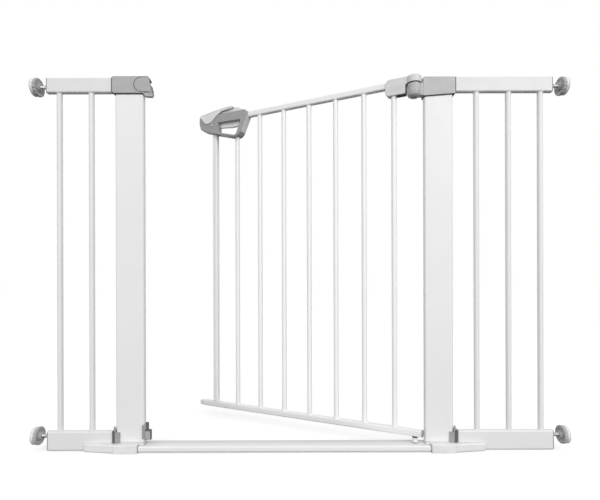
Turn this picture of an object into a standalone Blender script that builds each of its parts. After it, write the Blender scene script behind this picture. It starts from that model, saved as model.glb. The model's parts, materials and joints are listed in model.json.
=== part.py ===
"""Pressure-mounted safety gate: a fixed frame with two side extensions, four wall spindles,
and a leaf that lifts and swings on a pin hinge.

Metres, +Z up, +X to the right and +Y away from the room side. The origin is on the floor, in the
middle of the doorway, in the frame's own plane. The leaf is modelled shut, in coordinates that
start at its hinge pin, and an empty then turns it to its half-open place.
"""
import math

import bmesh
import bpy

GAP = 0.0003                      # air between two pieces that touch
WALL = 0.0012                     # tube wall
ROUND_STEPS = 3                   # facets in a tube's corner
BAR_SIDES = 16
PIN_SIDES = 16
BORE_SIDES = 24
WHEEL_SIDES = 28
BARREL_SIDES = 32
SHARP_ANGLE = math.radians(35)

# Frame
WALL_X = 0.5415                   # wall faces of the four pads
POST_WIDTH = 0.058
POST_DEPTH = 0.0135
POST_CORNER = 0.004
POST_LEFT_X = -0.34435
POST_RIGHT_X = 0.28115
POST_BOTTOM_Z = 0.0177
POST_TOP_Z = 0.7475
CAP_TOP_Z = 0.7586
CAP_DEPTH = 0.0165
SHOE_TOP_Z = 0.0174
SHOE_DEPTH = 0.043
THRESHOLD_Z = (0.002, 0.0137)
THRESHOLD_DEPTH = 0.036
THRESHOLD_CORNER = 0.003
THRESHOLD_X = (-0.3246, 0.2608)

# Side extensions
BAR_RADIUS = 0.0055
BAR_PITCH = 0.065
RAIL_DEPTH = 0.0125
RAIL_CORNER = 0.003
EXTENSION_END_X = 0.5135
EXTENSION_TOP_Z = (0.7265, 0.7570)
EXTENSION_BOTTOM_Z = (0.0012, 0.0400)
LEFT_BARS_START_X = -0.4884
LEFT_BARS = 2
RIGHT_BARS_START_X = 0.3594
RIGHT_BARS = 3
LEFT_INNER_X = -0.3800            # where the left bottom rail stops, at its plug
RIGHT_INNER_X = 0.3187
FLANGE = 0.0015                   # flange of a threaded insert

# Wall spindles
SPINDLE_TOP_Z = 0.739
SPINDLE_BOTTOM_Z = 0.030
SPINDLE_RADIUS = 0.004
WHEEL_RADIUS = 0.0182
PAD_RADIUS = 0.0175
WHEEL_INNER_X = 0.529
PAD_BACK = WALL_X - WHEEL_INNER_X  # the pad's wall face, measured from the wheel's inner face
ROD_INNER_X = 0.456

# Leaf, measured along it from the hinge pin
HINGE_X = 0.2335
OPEN_ANGLE = math.radians(25.4)
LEAF_BOTTOM_RAIL_Z = (0.0273, 0.0410)
LEAF_TOP_RAIL_Z = (0.7425, 0.7558)
LEAF_BAR_START = 0.0414
LEAF_BAR_PITCH = 0.0645
LEAF_BARS = 7
LAST_BAR_ALONG = LEAF_BAR_START + (LEAF_BARS - 1) * LEAF_BAR_PITCH
UPRIGHT_ALONG = 0.493
UPRIGHT_WIDTH = 0.013
UPRIGHT_TOP_Z = 0.7215
TOP_RAIL_ENDS = (0.0190, 0.4150)
BOTTOM_RAIL_ENDS = (-0.0135, 0.5290)
PIN_RADIUS = 0.004
CLIP_DEPTH = 0.0165
KNUCKLE_Z = 0.7448
PLUG_Y = (-0.0044, 0.0044)        # the plugs inside the leaf's bottom rail
PLUG_Z = (0.0293, 0.0390)

# Handle, also measured along the leaf
HANDLE_FRONT = 0.0150             # the handle stands out further towards the room
HANDLE_BACK = 0.0085
SHELL_TOP_Z = 0.7590
LAST_BAR_TOP_Z = 0.6995           # the bar that ends inside the handle
CHANNEL_HALF = 0.0045             # half width of the channels for the bolt and the trigger
LEVER_HALF = 0.0040
TRIGGER_PIVOT = (0.4954, 0.7342)
WINDOW_LEFT = (0.4759, 0.4815)    # the finger window is wider in the back shell
SHELL_SCREW = (0.4142, 0.7120)
SLIDER_Y = (-0.0170, 0.0105)

COLOURS = {
    "white_coat": ((0.80, 0.80, 0.80), 0.35, 0.0),
    "white_plastic": ((0.82, 0.82, 0.81), 0.45, 0.0),
    "mid_grey": ((0.36, 0.36, 0.37), 0.5, 0.0),
    "clip_grey": ((0.50, 0.50, 0.51), 0.45, 0.0),
    "handle_grey": ((0.28, 0.28, 0.29), 0.5, 0.0),
    "light_grey": ((0.62, 0.62, 0.63), 0.45, 0.0),
    "dark_grey": ((0.20, 0.20, 0.21), 0.55, 0.0),
    "zinc": ((0.60, 0.60, 0.62), 0.35, 1.0),
}


def clear_scene():
    for item in list(bpy.data.objects):
        bpy.data.objects.remove(item, do_unlink=True)


def material_for(name, finish):
    colour, roughness, metallic = COLOURS[finish]
    material = bpy.data.materials.new(name + "_material")
    material.use_nodes = True
    shader = material.node_tree.nodes["Principled BSDF"]
    shader.inputs["Base Color"].default_value = (*colour, 1.0)
    shader.inputs["Roughness"].default_value = roughness
    shader.inputs["Metallic"].default_value = metallic
    return material


def make_object(name, bm, finish, parent=None):
    bmesh.ops.remove_doubles(bm, verts=bm.verts, dist=1e-6)
    bmesh.ops.recalc_face_normals(bm, faces=bm.faces)
    mesh = bpy.data.meshes.new(name)
    bm.to_mesh(mesh)
    bm.free()
    mesh.shade_smooth()
    mesh.set_sharp_from_angle(angle=SHARP_ANGLE)
    item = bpy.data.objects.new(name, mesh)
    bpy.context.collection.objects.link(item)
    item.parent = parent
    if finish:
        mesh.materials.append(material_for(name, finish))
    else:
        item.hide_render = True
        item.display_type = "WIRE"
    return item


def rounded_rectangle(width, height, radius, centre=(0.0, 0.0)):
    """Corner points of a rounded rectangle, counter-clockwise."""
    points = []
    for corner in range(4):
        turn = math.pi / 2 * corner
        sign_a = 1 if corner in (0, 3) else -1
        sign_b = 1 if corner in (0, 1) else -1
        hub_a = centre[0] + sign_a * (width / 2 - radius)
        hub_b = centre[1] + sign_b * (height / 2 - radius)
        for step in range(ROUND_STEPS + 1):
            angle = turn + math.pi / 2 * step / ROUND_STEPS
            points.append((hub_a + radius * math.cos(angle), hub_b + radius * math.sin(angle)))
    return points


def circle(radius, sides, centre=(0.0, 0.0)):
    return [(centre[0] + radius * math.cos(math.tau * k / sides),
             centre[1] + radius * math.sin(math.tau * k / sides)) for k in range(sides)]


def place(axis, a, b, along):
    """A point from its two outline coordinates and its distance along the extrusion axis."""
    return {"x": (along, a, b), "y": (a, along, b), "z": (a, b, along)}[axis]


def extrude(bm, faces, axis, distance):
    result = bmesh.ops.extrude_face_region(bm, geom=faces)
    moved = [item for item in result["geom"] if isinstance(item, bmesh.types.BMVert)]
    bmesh.ops.translate(bm, verts=moved, vec=place(axis, 0.0, 0.0, distance))


def prism(name, outline, axis, start, end, finish=None, parent=None):
    """An outline extruded along an axis into a solid block."""
    bm = bmesh.new()
    face = bm.faces.new([bm.verts.new(place(axis, a, b, start)) for a, b in outline])
    extrude(bm, [face], axis, end - start)
    return make_object(name, bm, finish, parent)


def box(name, x_range, y_range, z_range, finish=None, parent=None):
    corners = [(x_range[0], y_range[0]), (x_range[1], y_range[0]), (x_range[1], y_range[1]),
               (x_range[0], y_range[1])]
    return prism(name, corners, "z", z_range[0], z_range[1], finish, parent)


def tube(name, outer, inner, axis, start, end, finish, parent=None):
    """A hollow section, open at both ends."""
    bm = bmesh.new()
    edges = []
    for outline in (outer, inner):
        ring = [bm.verts.new(place(axis, a, b, start)) for a, b in outline]
        edges += [bm.edges.new((ring[k - 1], ring[k])) for k in range(len(ring))]
    rim = bmesh.ops.bridge_loops(bm, edges=edges)["faces"]
    extrude(bm, rim, axis, end - start)
    return make_object(name, bm, finish, parent)


def turned(name, profile, sides, axis, centre, direction=1, finish=None, parent=None):
    """A profile of (radius, distance) points turned about an axis through centre."""
    bm = bmesh.new()
    points = [bm.verts.new((radius, 0.0, height)) for radius, height in profile]
    edges = [bm.edges.new((points[k], points[k + 1])) for k in range(len(points) - 1)]
    if profile[0][0] > 0:
        edges.append(bm.edges.new((points[-1], points[0])))
    bmesh.ops.spin(bm, geom=points + edges, cent=(0, 0, 0), axis=(0, 0, 1), angle=math.tau,
                   steps=sides, use_merge=True)
    for vert in bm.verts:
        a, b, along = vert.co
        x, y, z = place(axis, a, b, along * direction)
        vert.co = (x + centre[0], y + centre[1], z + centre[2])
    return make_object(name, bm, finish, parent)


def combine(target, operation, *tools):
    for tool in tools:
        modifier = target.modifiers.new(tool.name, "BOOLEAN")
        modifier.operation = operation
        modifier.object = tool
    return target


def hollow_rail(name, x_range, z_range, depth, finish="white_coat", parent=None):
    """A rounded rectangular tube lying along X."""
    height = z_range[1] - z_range[0]
    centre = (0.0, (z_range[0] + z_range[1]) / 2)
    outer = rounded_rectangle(depth, height, RAIL_CORNER, centre)
    inner = rounded_rectangle(depth - 2 * WALL, height - 2 * WALL, RAIL_CORNER - WALL, centre)
    return tube(name, outer, inner, "x", x_range[0], x_range[1], finish, parent)


def round_bar(name, x, z_range, parent=None):
    outer = circle(BAR_RADIUS, BAR_SIDES, (x, 0.0))
    inner = circle(BAR_RADIUS - WALL, BAR_SIDES, (x, 0.0))
    return tube(name, outer, inner, "z", z_range[0], z_range[1], "white_coat", parent)


def post(name, x):
    outer = rounded_rectangle(POST_WIDTH, POST_DEPTH, POST_CORNER, (x, 0.0))
    inner = rounded_rectangle(POST_WIDTH - 2 * WALL, POST_DEPTH - 2 * WALL, POST_CORNER - WALL, (x, 0.0))
    return tube(name, outer, inner, "z", POST_BOTTOM_Z, POST_TOP_Z, "white_coat")


def post_socket(name, x):
    """The pocket of a cap that slips over a post's top."""
    outline = rounded_rectangle(POST_WIDTH + 2 * GAP, POST_DEPTH + 2 * GAP, POST_CORNER, (x, 0.0))
    return prism(name, outline, "z", 0.70, POST_TOP_Z + GAP)


def rail_tongue(name, x_range, z_range):
    """The tongue that an end fitting pushes into a rail."""
    inside = 2 * WALL + 6 * GAP
    half = (RAIL_DEPTH - inside) / 2
    return box(name, x_range, (-half, half), (z_range[0] + inside / 2, z_range[1] - inside / 2))


def threshold():
    height = THRESHOLD_Z[1] - THRESHOLD_Z[0]
    centre = (0.0, (THRESHOLD_Z[0] + THRESHOLD_Z[1]) / 2)
    outer = rounded_rectangle(THRESHOLD_DEPTH, height, THRESHOLD_CORNER, centre)
    inner = rounded_rectangle(THRESHOLD_DEPTH - 2 * WALL, height - 2 * WALL, THRESHOLD_CORNER - WALL, centre)
    tube("threshold_bar", outer, inner, "x", *THRESHOLD_X, "white_coat")


def shoe(name, outer_x, inner_x, sleeve_x, tongue_x, rail_x):
    """A plastic foot under a post, with a tapered sleeve round the extension's bottom rail."""
    middle = (outer_x + inner_x) / 2
    block = prism(name, rounded_rectangle(abs(outer_x - inner_x), SHOE_DEPTH, 0.004, (middle, 0.0)),
                  "z", 0.0, SHOE_TOP_Z, "white_plastic")
    root = outer_x + (0.004 if inner_x > outer_x else -0.004)
    sleeve = prism(name + "_sleeve",
                   [(root, -0.0195), (outer_x, -0.0195), (sleeve_x, -0.0110),
                    (sleeve_x, 0.0110), (outer_x, 0.0195), (root, 0.0195)], "z", 0.0, 0.0170)
    tongue = box(name + "_tongue", sorted((middle, tongue_x)), (-0.0105, 0.0105),
                 (THRESHOLD_Z[1] + GAP, SHOE_TOP_Z))
    half = RAIL_DEPTH / 2 + GAP
    channel = box(name + "_channel", sorted((rail_x, sleeve_x * 1.1)), (-half, half),
                  (EXTENSION_BOTTOM_Z[0] - GAP, 0.03))
    combine(block, "UNION", sleeve, tongue)
    combine(block, "DIFFERENCE", channel)


def frame():
    post("left_post", POST_LEFT_X)
    post("right_post", POST_RIGHT_X)
    threshold()
    shoe("left_shoe", -0.3746, -0.3249, -0.4363, -0.3157, LEFT_INNER_X + GAP)
    shoe("right_shoe", 0.3120, 0.2611, 0.3728, 0.2530, RIGHT_INNER_X - GAP)


def latch_striker():
    """The cap on the left post: a pocket that the bolt enters from the back, and a nub low at its front."""
    half = CAP_DEPTH / 2
    outline = [(-0.3754, 0.7240), (-0.3162, 0.7240), (-0.3122, 0.7174), (-0.2979, 0.7165),
               (-0.2966, 0.7186), (-0.2989, 0.7270), (-0.3048, 0.7566), (-0.3062, CAP_TOP_Z),
               (-0.3769, CAP_TOP_Z), (-0.3793, 0.7566), (-0.3793, 0.7280)]
    cap = prism("latch_striker", outline, "y", -half, half, "mid_grey")
    tongue = rail_tongue("striker_tongue", (-0.3930, -0.3780), EXTENSION_TOP_Z)
    pocket = box("striker_pocket", (-0.3072, -0.29), (-0.0050, 0.02), (0.7409, 0.7509))
    behind_nub = box("striker_nub_cut", (-0.3161, -0.29), (-0.0010, 0.02), (0.70, 0.7240))
    combine(cap, "UNION", tongue)
    combine(cap, "DIFFERENCE", post_socket("striker_socket", POST_LEFT_X), pocket, behind_nub)


def hinge_bracket():
    """The cap on the right post, with the barrel that holds the hinge pin."""
    half = CAP_DEPTH / 2
    outline = [(0.2500, 0.7172), (0.3136, 0.7220), (0.3152, 0.7238), (0.3152, 0.7545),
               (0.3136, 0.7562), (0.2500, 0.7562)]
    cap = prism("hinge_bracket", outline, "y", -half, half, "clip_grey")
    barrel = turned("bracket_barrel", [(0, 0), (0.0100, 0), (0.0135, 0.003), (0.0135, 0.0270), (0, 0.0270)],
                    BARREL_SIDES, "z", (HINGE_X, 0, 0.7175))
    web = box("bracket_web", (HINGE_X, 0.2510), (-0.0075, 0.0075), (0.7190, 0.7445))
    bore = prism("bracket_bore", circle(PIN_RADIUS + GAP, BORE_SIDES, (HINGE_X, 0.0)), "z", 0.70, 0.76)
    tongue = rail_tongue("bracket_tongue", (0.3140, 0.3290), EXTENSION_TOP_Z)
    combine(cap, "UNION", web, barrel, tongue)
    combine(cap, "DIFFERENCE", post_socket("bracket_socket", POST_RIGHT_X), bore)


def lower_keeper():
    """The catch on the left post: a front stop, a shelf and a low lip behind it."""
    face = POST_LEFT_X + POST_WIDTH / 2 + GAP
    plate = box("lower_keeper", (face, -0.3108), (-0.0098, 0.0080), (0.0257, 0.0537), "mid_grey")
    flange = box("keeper_flange", (-0.3195, -0.3120), (-0.0098, -POST_DEPTH / 2 - GAP), (0.0257, 0.0537))
    stop = box("keeper_stop", (-0.3120, -0.2996), (-0.0125, -0.0072), (0.0250, 0.0460))
    tab = box("keeper_tab", (-0.3118, -0.3056), (-0.0097, -0.0072), (0.0400, 0.0600))
    shelf = box("keeper_shelf", (-0.3120, -0.3055), (-0.0090, 0.0079), (0.0251, 0.0270))
    lip = box("keeper_lip", (-0.3120, -0.3055), (0.0055, 0.0078), (0.0260, 0.0280))
    combine(plate, "UNION", flange, stop, tab, shelf, lip)


def outer_clip(name, side, rail_x, post_x):
    """The plug and clip that tie a bottom rail to the post's outer foot."""
    cap = box(name, sorted((rail_x - side * GAP, post_x + side * GAP)), (-0.0098, 0.0074),
              (0.0180, 0.0420), "mid_grey")
    front = box(name + "_front", sorted((post_x + side * 0.0008, post_x - side * 0.0090)),
                (-0.0098, -POST_DEPTH / 2 - GAP), (0.0180, 0.0388))
    tab = box(name + "_tab", sorted((post_x + side * 0.0030, post_x - side * 0.0010)),
              (-0.0098, -0.0075), (0.0380, 0.0510))
    plug_z = (0.0182, EXTENSION_BOTTOM_Z[1])
    plug = rail_tongue(name + "_plug", sorted((rail_x + side * 0.013, rail_x - side * 0.001)), plug_z)
    combine(cap, "UNION", front, tab, plug)


def threaded_insert(name, side, z_range, bore_z):
    """The end plug of a rail, bored for the spindle."""
    height = z_range[1] - z_range[0]
    centre = (0.0, (z_range[0] + z_range[1]) / 2)
    end = side * EXTENSION_END_X
    flange = prism(name, rounded_rectangle(RAIL_DEPTH, height, RAIL_CORNER, centre), "x",
                   end - side * FLANGE, end, "white_plastic")
    body = rail_tongue(name + "_body", sorted((end - side * 0.012, end - side * 0.001)), z_range)
    bore = prism(name + "_bore", circle(SPINDLE_RADIUS + GAP, BORE_SIDES, (0.0, bore_z)), "x",
                 end - side * 0.03, end + side * 0.01)
    combine(flange, "UNION", body)
    combine(flange, "DIFFERENCE", bore)


def spindle(name, side, z):
    """A wall spindle: threaded rod, turning wheel and the pad that stays on the wall."""
    centre = (side * WHEEL_INNER_X, 0.0, z)
    wheel_profile = [(0, 0.0045), (SPINDLE_RADIUS + GAP, 0.0045), (SPINDLE_RADIUS + GAP, -0.0040),
                     (0.0078, -0.0040), (0.0095, 0.0022), (0.0150, 0.0002), (WHEEL_RADIUS - 0.0010, 0.0),
                     (WHEEL_RADIUS, 0.0010), (WHEEL_RADIUS, 0.0050), (WHEEL_RADIUS - 0.0010, 0.0060),
                     (0, 0.0060)]
    turned(name + "_wheel", wheel_profile, WHEEL_SIDES, "x", centre, side, "mid_grey")
    prism(name + "_rod", circle(SPINDLE_RADIUS, PIN_SIDES, (0.0, z)), "x", side * ROD_INNER_X,
          side * (WHEEL_INNER_X + 0.0042), "zinc")
    pad_profile = [(0, 0.0063), (PAD_RADIUS - 0.0022, 0.0063), (PAD_RADIUS - 0.0009, 0.0078),
                   (PAD_RADIUS, PAD_BACK - 0.0008), (PAD_RADIUS - 0.0007, PAD_BACK), (0, PAD_BACK)]
    turned(name + "_pad", pad_profile, WHEEL_SIDES, "x", centre, side, "white_plastic")


def extension(side_name, side, bars_start_x, bars, top_start, bottom_start):
    rail_end = side * (EXTENSION_END_X - FLANGE - GAP)
    hollow_rail(side_name + "_top_rail", sorted((top_start, rail_end)), EXTENSION_TOP_Z, RAIL_DEPTH)
    hollow_rail(side_name + "_bottom_rail", sorted((bottom_start, rail_end)), EXTENSION_BOTTOM_Z, RAIL_DEPTH)
    for number in range(bars):
        round_bar(f"{side_name}_bar_{number + 1}", bars_start_x + number * BAR_PITCH,
                  (EXTENSION_BOTTOM_Z[1] + GAP, EXTENSION_TOP_Z[0] - GAP))
    threaded_insert(side_name + "_top_insert", side, EXTENSION_TOP_Z, SPINDLE_TOP_Z)
    threaded_insert(side_name + "_bottom_insert", side, EXTENSION_BOTTOM_Z, SPINDLE_BOTTOM_Z)
    spindle(side_name + "_top_spindle", side, SPINDLE_TOP_Z)
    spindle(side_name + "_bottom_spindle", side, SPINDLE_BOTTOM_Z)


def lower_hinge():
    """The fixed pin that the leaf turns on at the floor, and the bush round it."""
    pin_profile = [(0, 0), (0.0050, 0), (0.0050, 0.0015), (0.0030, 0.0015), (0.0030, 0.0225),
                   (0.0022, 0.0235), (0, 0.0235)]
    turned("lower_hinge_pin", pin_profile, PIN_SIDES, "z", (HINGE_X, 0, 0.0140), 1, "zinc")
    turned("lower_bush", [(0.0033, 0), (0.0055, 0), (0.0055, 0.0105), (0.0033, 0.0105)], BORE_SIDES, "z",
           (HINGE_X, 0, 0.0158), 1, "white_plastic")


def leaf_frame(leaf):
    """Rails, bars and latch upright of the leaf, shut, with the hinge pin at local zero."""
    hollow_rail("leaf_top_rail", (-TOP_RAIL_ENDS[1], -TOP_RAIL_ENDS[0]), LEAF_TOP_RAIL_Z, RAIL_DEPTH,
                parent=leaf)
    bottom = hollow_rail("leaf_bottom_rail", (-BOTTOM_RAIL_ENDS[1], -BOTTOM_RAIL_ENDS[0]), LEAF_BOTTOM_RAIL_Z,
                         RAIL_DEPTH, parent=leaf)
    pin_hole = prism("pin_hole", circle(0.0035, BORE_SIDES), "z", 0.02, 0.033, parent=leaf)
    combine(bottom, "DIFFERENCE", pin_hole)
    for number in range(LEAF_BARS):
        along = LEAF_BAR_START + number * LEAF_BAR_PITCH
        in_handle = number == LEAF_BARS - 1
        top = LAST_BAR_TOP_Z if in_handle else LEAF_TOP_RAIL_Z[0] - GAP
        round_bar(f"leaf_bar_{number + 1}", -along, (LEAF_BOTTOM_RAIL_Z[1] + GAP, top), leaf)
    outer = rounded_rectangle(UPRIGHT_WIDTH, RAIL_DEPTH, RAIL_CORNER, (-UPRIGHT_ALONG, 0.0))
    inner = rounded_rectangle(UPRIGHT_WIDTH - 2 * WALL, RAIL_DEPTH - 2 * WALL, RAIL_CORNER - WALL,
                              (-UPRIGHT_ALONG, 0.0))
    tube("latch_upright", outer, inner, "z", LEAF_BOTTOM_RAIL_Z[1] + GAP, UPRIGHT_TOP_Z, "white_coat", leaf)


def leaf_ends(leaf):
    """The plugs in the bottom rail: a plain cap at the hinge and the catch pin at the latch end."""
    centre = (0.0, (LEAF_BOTTOM_RAIL_Z[0] + LEAF_BOTTOM_RAIL_Z[1]) / 2)
    height = LEAF_BOTTOM_RAIL_Z[1] - LEAF_BOTTOM_RAIL_Z[0]
    hinge_end = -BOTTOM_RAIL_ENDS[0] + GAP
    cap = prism("rail_end_cap", rounded_rectangle(RAIL_DEPTH, height, 0.004, centre), "x",
                hinge_end, hinge_end + 0.0028, "mid_grey", leaf)
    plug = box("cap_plug", (hinge_end - 0.006, hinge_end + 0.001), PLUG_Y, PLUG_Z, parent=leaf)
    combine(cap, "UNION", plug)
    latch_end = -BOTTOM_RAIL_ENDS[1] - GAP
    pin = prism("lower_latch_pin", rounded_rectangle(0.0115, 0.0115, 0.003, centre), "x",
                latch_end, latch_end - 0.0105, "light_grey", leaf)
    root = box("catch_plug", (latch_end - 0.001, latch_end + 0.012), PLUG_Y, PLUG_Z, parent=leaf)
    tip_profile = [(0, 0), (0.0028, 0), (0.0028, 0.0028), (0.0020, 0.0037), (0, 0.0037)]
    tip = turned("catch_tip", tip_profile, PIN_SIDES, "x", (latch_end - 0.0100, 0, centre[1]), -1,
                 parent=leaf)
    combine(pin, "UNION", root, tip)


def leaf_hinge(leaf, lift):
    """The knuckle clip on the leaf's top rail, and the pin that hangs from it into the barrel."""
    outline = [(-0.016, 0.7254), (-0.0500, 0.7254), (-0.0550, 0.7277), (-0.0580, 0.7330),
               (-0.0580, 0.7500), (-0.0560, 0.7560), (-0.0515, 0.7600), (-0.002, 0.7600),
               (-0.002, KNUCKLE_Z), (-0.016, KNUCKLE_Z)]
    block = prism("leaf_hinge_clip", outline, "y", -CLIP_DEPTH / 2, CLIP_DEPTH / 2, "clip_grey", leaf)
    knuckle = turned("clip_knuckle", [(0, 0), (0.0150, 0), (0.0150, 0.0132), (0.0130, 0.0152), (0, 0.0152)],
                     BARREL_SIDES, "z", (0, 0, KNUCKLE_Z), parent=leaf)
    half = RAIL_DEPTH / 2 + GAP
    rail = box("clip_rail_socket", (-0.07, -TOP_RAIL_ENDS[0] + GAP), (-half, half),
               (LEAF_TOP_RAIL_Z[0] - GAP, LEAF_TOP_RAIL_Z[1] + GAP), parent=leaf)
    bar_outline = circle(BAR_RADIUS + GAP, BORE_SIDES, (-LEAF_BAR_START, 0.0))
    bar = prism("clip_bar_hole", bar_outline, "z", 0.70, 0.745, parent=leaf)
    bore = prism("clip_pin_hole", circle(PIN_RADIUS + GAP, BORE_SIDES), "z", 0.74, 0.7560, parent=leaf)
    combine(block, "UNION", knuckle)
    combine(block, "DIFFERENCE", rail, bar, bore)
    turned("top_hinge_pin", [(0, 0), (0.0030, 0), (PIN_RADIUS, 0.0010), (PIN_RADIUS, 0.0372), (0, 0.0372)],
           PIN_SIDES, "z", (0, 0, 0.7185), 1, "zinc", lift)


def handle_outline():
    """The handle seen from the room side, as (distance along the leaf, height)."""
    return [(0.5335, 0.7570), (0.5335, 0.7430), (0.5295, 0.7285), (0.5200, 0.7222), (0.5079, 0.7187),
            (0.4876, 0.7123), (0.4426, 0.6995), (0.4263, 0.6969), (0.4171, 0.6992), (0.4109, 0.7066),
            (0.3936, 0.7434), (0.3936, 0.7500), (0.3955, 0.7560), (0.3990, SHELL_TOP_Z),
            (0.5315, SHELL_TOP_Z)]


def window_outline(left):
    """The opening for the fingers; left is how far it reaches towards the latch."""
    return [(left, 0.7385), (0.4121, 0.7361), (0.4115, 0.7330), (0.4230, 0.7050), (0.4266, 0.7024),
            (0.4300, 0.7018), (0.4700, 0.7129), (left - 0.0004, 0.7170)]


def on_leaf(outline):
    """Distances along the shut leaf run towards -X from the hinge pin."""
    return [(-along, z) for along, z in outline]


def handle_shells(leaf):
    """The two halves of the handle, hollowed for the rail, upright, bolt and trigger."""
    half = RAIL_DEPTH / 2 + GAP
    upright_half = UPRIGHT_WIDTH / 2 + GAP
    pivot, screw = on_leaf([TRIGGER_PIVOT, SHELL_SCREW])
    channel = (-CHANNEL_HALF, CHANNEL_HALF)
    cutters = [
        box("upright_socket", (-UPRIGHT_ALONG - upright_half, -UPRIGHT_ALONG + upright_half),
            (-half, half), (0.68, UPRIGHT_TOP_Z + GAP), parent=leaf),
        box("rail_socket", (-TOP_RAIL_ENDS[1] - GAP, -0.37), (-half, half),
            (LEAF_TOP_RAIL_Z[0] - GAP, LEAF_TOP_RAIL_Z[1] + GAP), parent=leaf),
        prism("bar_socket", circle(BAR_RADIUS + GAP, BORE_SIDES, (-LAST_BAR_ALONG, 0.0)), "z",
              0.68, LAST_BAR_TOP_Z + GAP, parent=leaf),
        box("bolt_channel", (-0.54, -0.4870), channel, (0.7397, 0.7505), parent=leaf),
        box("lever_channel", (-0.5015, -0.4165), channel, (0.7245, 0.7500), parent=leaf),
        box("lug_slot", (-0.5135, -0.4935), (-0.0035, 0.0035), (0.7490, 0.77), parent=leaf),
        prism("pivot_hole", circle(0.0021, PIN_SIDES, pivot), "y", -0.02, 0.0070, parent=leaf),
        prism("screw_hole", circle(0.0018, PIN_SIDES, screw), "y", -0.0085, 0.02, parent=leaf),
        prism("screw_sink", circle(0.0038, PIN_SIDES, screw), "y", 0.0055, 0.02, parent=leaf),
    ]
    for name, near, far, left in (("handle_front_shell", -HANDLE_FRONT, -GAP / 2, WINDOW_LEFT[0]),
                                  ("handle_back_shell", GAP / 2, HANDLE_BACK, WINDOW_LEFT[1])):
        window = prism(name + "_window", on_leaf(window_outline(left)), "y", -0.02, 0.02, parent=leaf)
        shell = prism(name, on_leaf(handle_outline()), "y", near, far, "handle_grey", leaf)
        combine(shell, "DIFFERENCE", window, *cutters)


def handle_works(leaf):
    """Top cover, thumb slider, bolt, squeeze trigger, its pivot and spring, and the shell screw."""
    cover = [(0.4920, SHELL_TOP_Z + GAP), (0.4920, 0.7639), (0.4805, 0.7657), (0.4416, 0.7690),
             (0.4221, 0.7690), (0.4161, 0.7678), (0.4084, 0.7629), (0.4032, SHELL_TOP_Z + GAP)]
    prism("handle_top_cover", on_leaf(cover), "y", -0.0105, 0.0065, "light_grey", leaf)

    saddle = [(0.5307, 0.7620), (0.4905, 0.7684), (0.4516, 0.7723), (0.4321, 0.7719), (0.4321, 0.7670),
              (0.4644, 0.7640), (0.4746, 0.7584), (0.4825, 0.7535), (0.4947, 0.7431), (0.5000, 0.7403),
              (0.5090, 0.7398), (0.5150, 0.7412), (0.5227, 0.7500), (0.5300, 0.7590)]
    under = [(0.5450, 0.7593), (0.5200, 0.7615), (0.4905, 0.7662), (0.4516, 0.7701), (0.4000, 0.7701),
             (0.4000, 0.7300), (0.5450, 0.7300)]
    slider = prism("thumb_slider", on_leaf(saddle), "y", *SLIDER_Y, "light_grey", leaf)
    hollow = prism("slider_hollow", on_leaf(under), "y", -HANDLE_FRONT - GAP, HANDLE_BACK + GAP, parent=leaf)
    combine(slider, "DIFFERENCE", hollow)

    bolt = box("latch_bolt", (-0.5385, -0.4985), (-LEVER_HALF, LEVER_HALF), (0.7420, 0.7498), "dark_grey",
               leaf)
    lug = box("bolt_lug", (-0.5125, -0.5045), (-0.0030, 0.0030), (0.7480, 0.7621), parent=leaf)
    combine(bolt, "UNION", lug)

    lever = [(0.4954, 0.7384), (0.4195, 0.7384), (0.4188, 0.7320), (0.4205, 0.7280), (0.4250, 0.7258),
             (0.4440, 0.7254), (0.4665, 0.7280), (0.4954, 0.7300)]
    trigger = prism("squeeze_trigger", on_leaf(lever), "y", -LEVER_HALF, LEVER_HALF, "light_grey", leaf)
    pivot, screw = on_leaf([TRIGGER_PIVOT, SHELL_SCREW])
    boss = prism("trigger_boss", circle(0.0045, BORE_SIDES, pivot), "y", -LEVER_HALF, LEVER_HALF, parent=leaf)
    hole = prism("trigger_hole", circle(0.0021, PIN_SIDES, pivot), "y", -0.01, 0.01, parent=leaf)
    combine(trigger, "UNION", boss)
    combine(trigger, "DIFFERENCE", hole)

    pin_profile = [(0, 0), (0.0024, 0), (0.0028, 0.0004), (0.0028, 0.0010), (0.0018, 0.0010),
                   (0.0018, 0.0230), (0, 0.0230)]
    screw_profile = [(0, 0), (0.0034, 0), (0.0034, 0.0018), (0.0015, 0.0024), (0.0015, 0.0155), (0, 0.0161)]
    turned("trigger_pivot_pin", pin_profile, PIN_SIDES, "y", (pivot[0], -0.0163, pivot[1]), 1, "zinc", leaf)
    turned("shell_screw", screw_profile, PIN_SIDES, "y", (screw[0], 0.0080, screw[1]), -1, "zinc", leaf)
    trigger_spring(leaf)


def trigger_spring(leaf):
    """The coil over the trigger, between the lever and the roof of its channel."""
    bottom, top = 0.7391, 0.7493
    turns, radius, wire = 5, 0.0022, 0.00035
    steps = turns * 10
    curve = bpy.data.curves.new("spring_path", "CURVE")
    curve.dimensions = "3D"
    curve.bevel_depth = wire
    curve.bevel_resolution = 1
    curve.use_fill_caps = True
    spline = curve.splines.new("POLY")
    spline.points.add(steps)
    for step in range(steps + 1):
        angle = math.tau * turns * step / steps
        z = bottom + (top - bottom) * step / steps
        spline.points[step].co = (-0.4320 + radius * math.cos(angle), radius * math.sin(angle), z, 1.0)
    spring = bpy.data.objects.new("trigger_spring", curve)
    bpy.context.collection.objects.link(spring)
    spring.parent = leaf
    curve.materials.append(material_for("trigger_spring", "zinc"))


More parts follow.
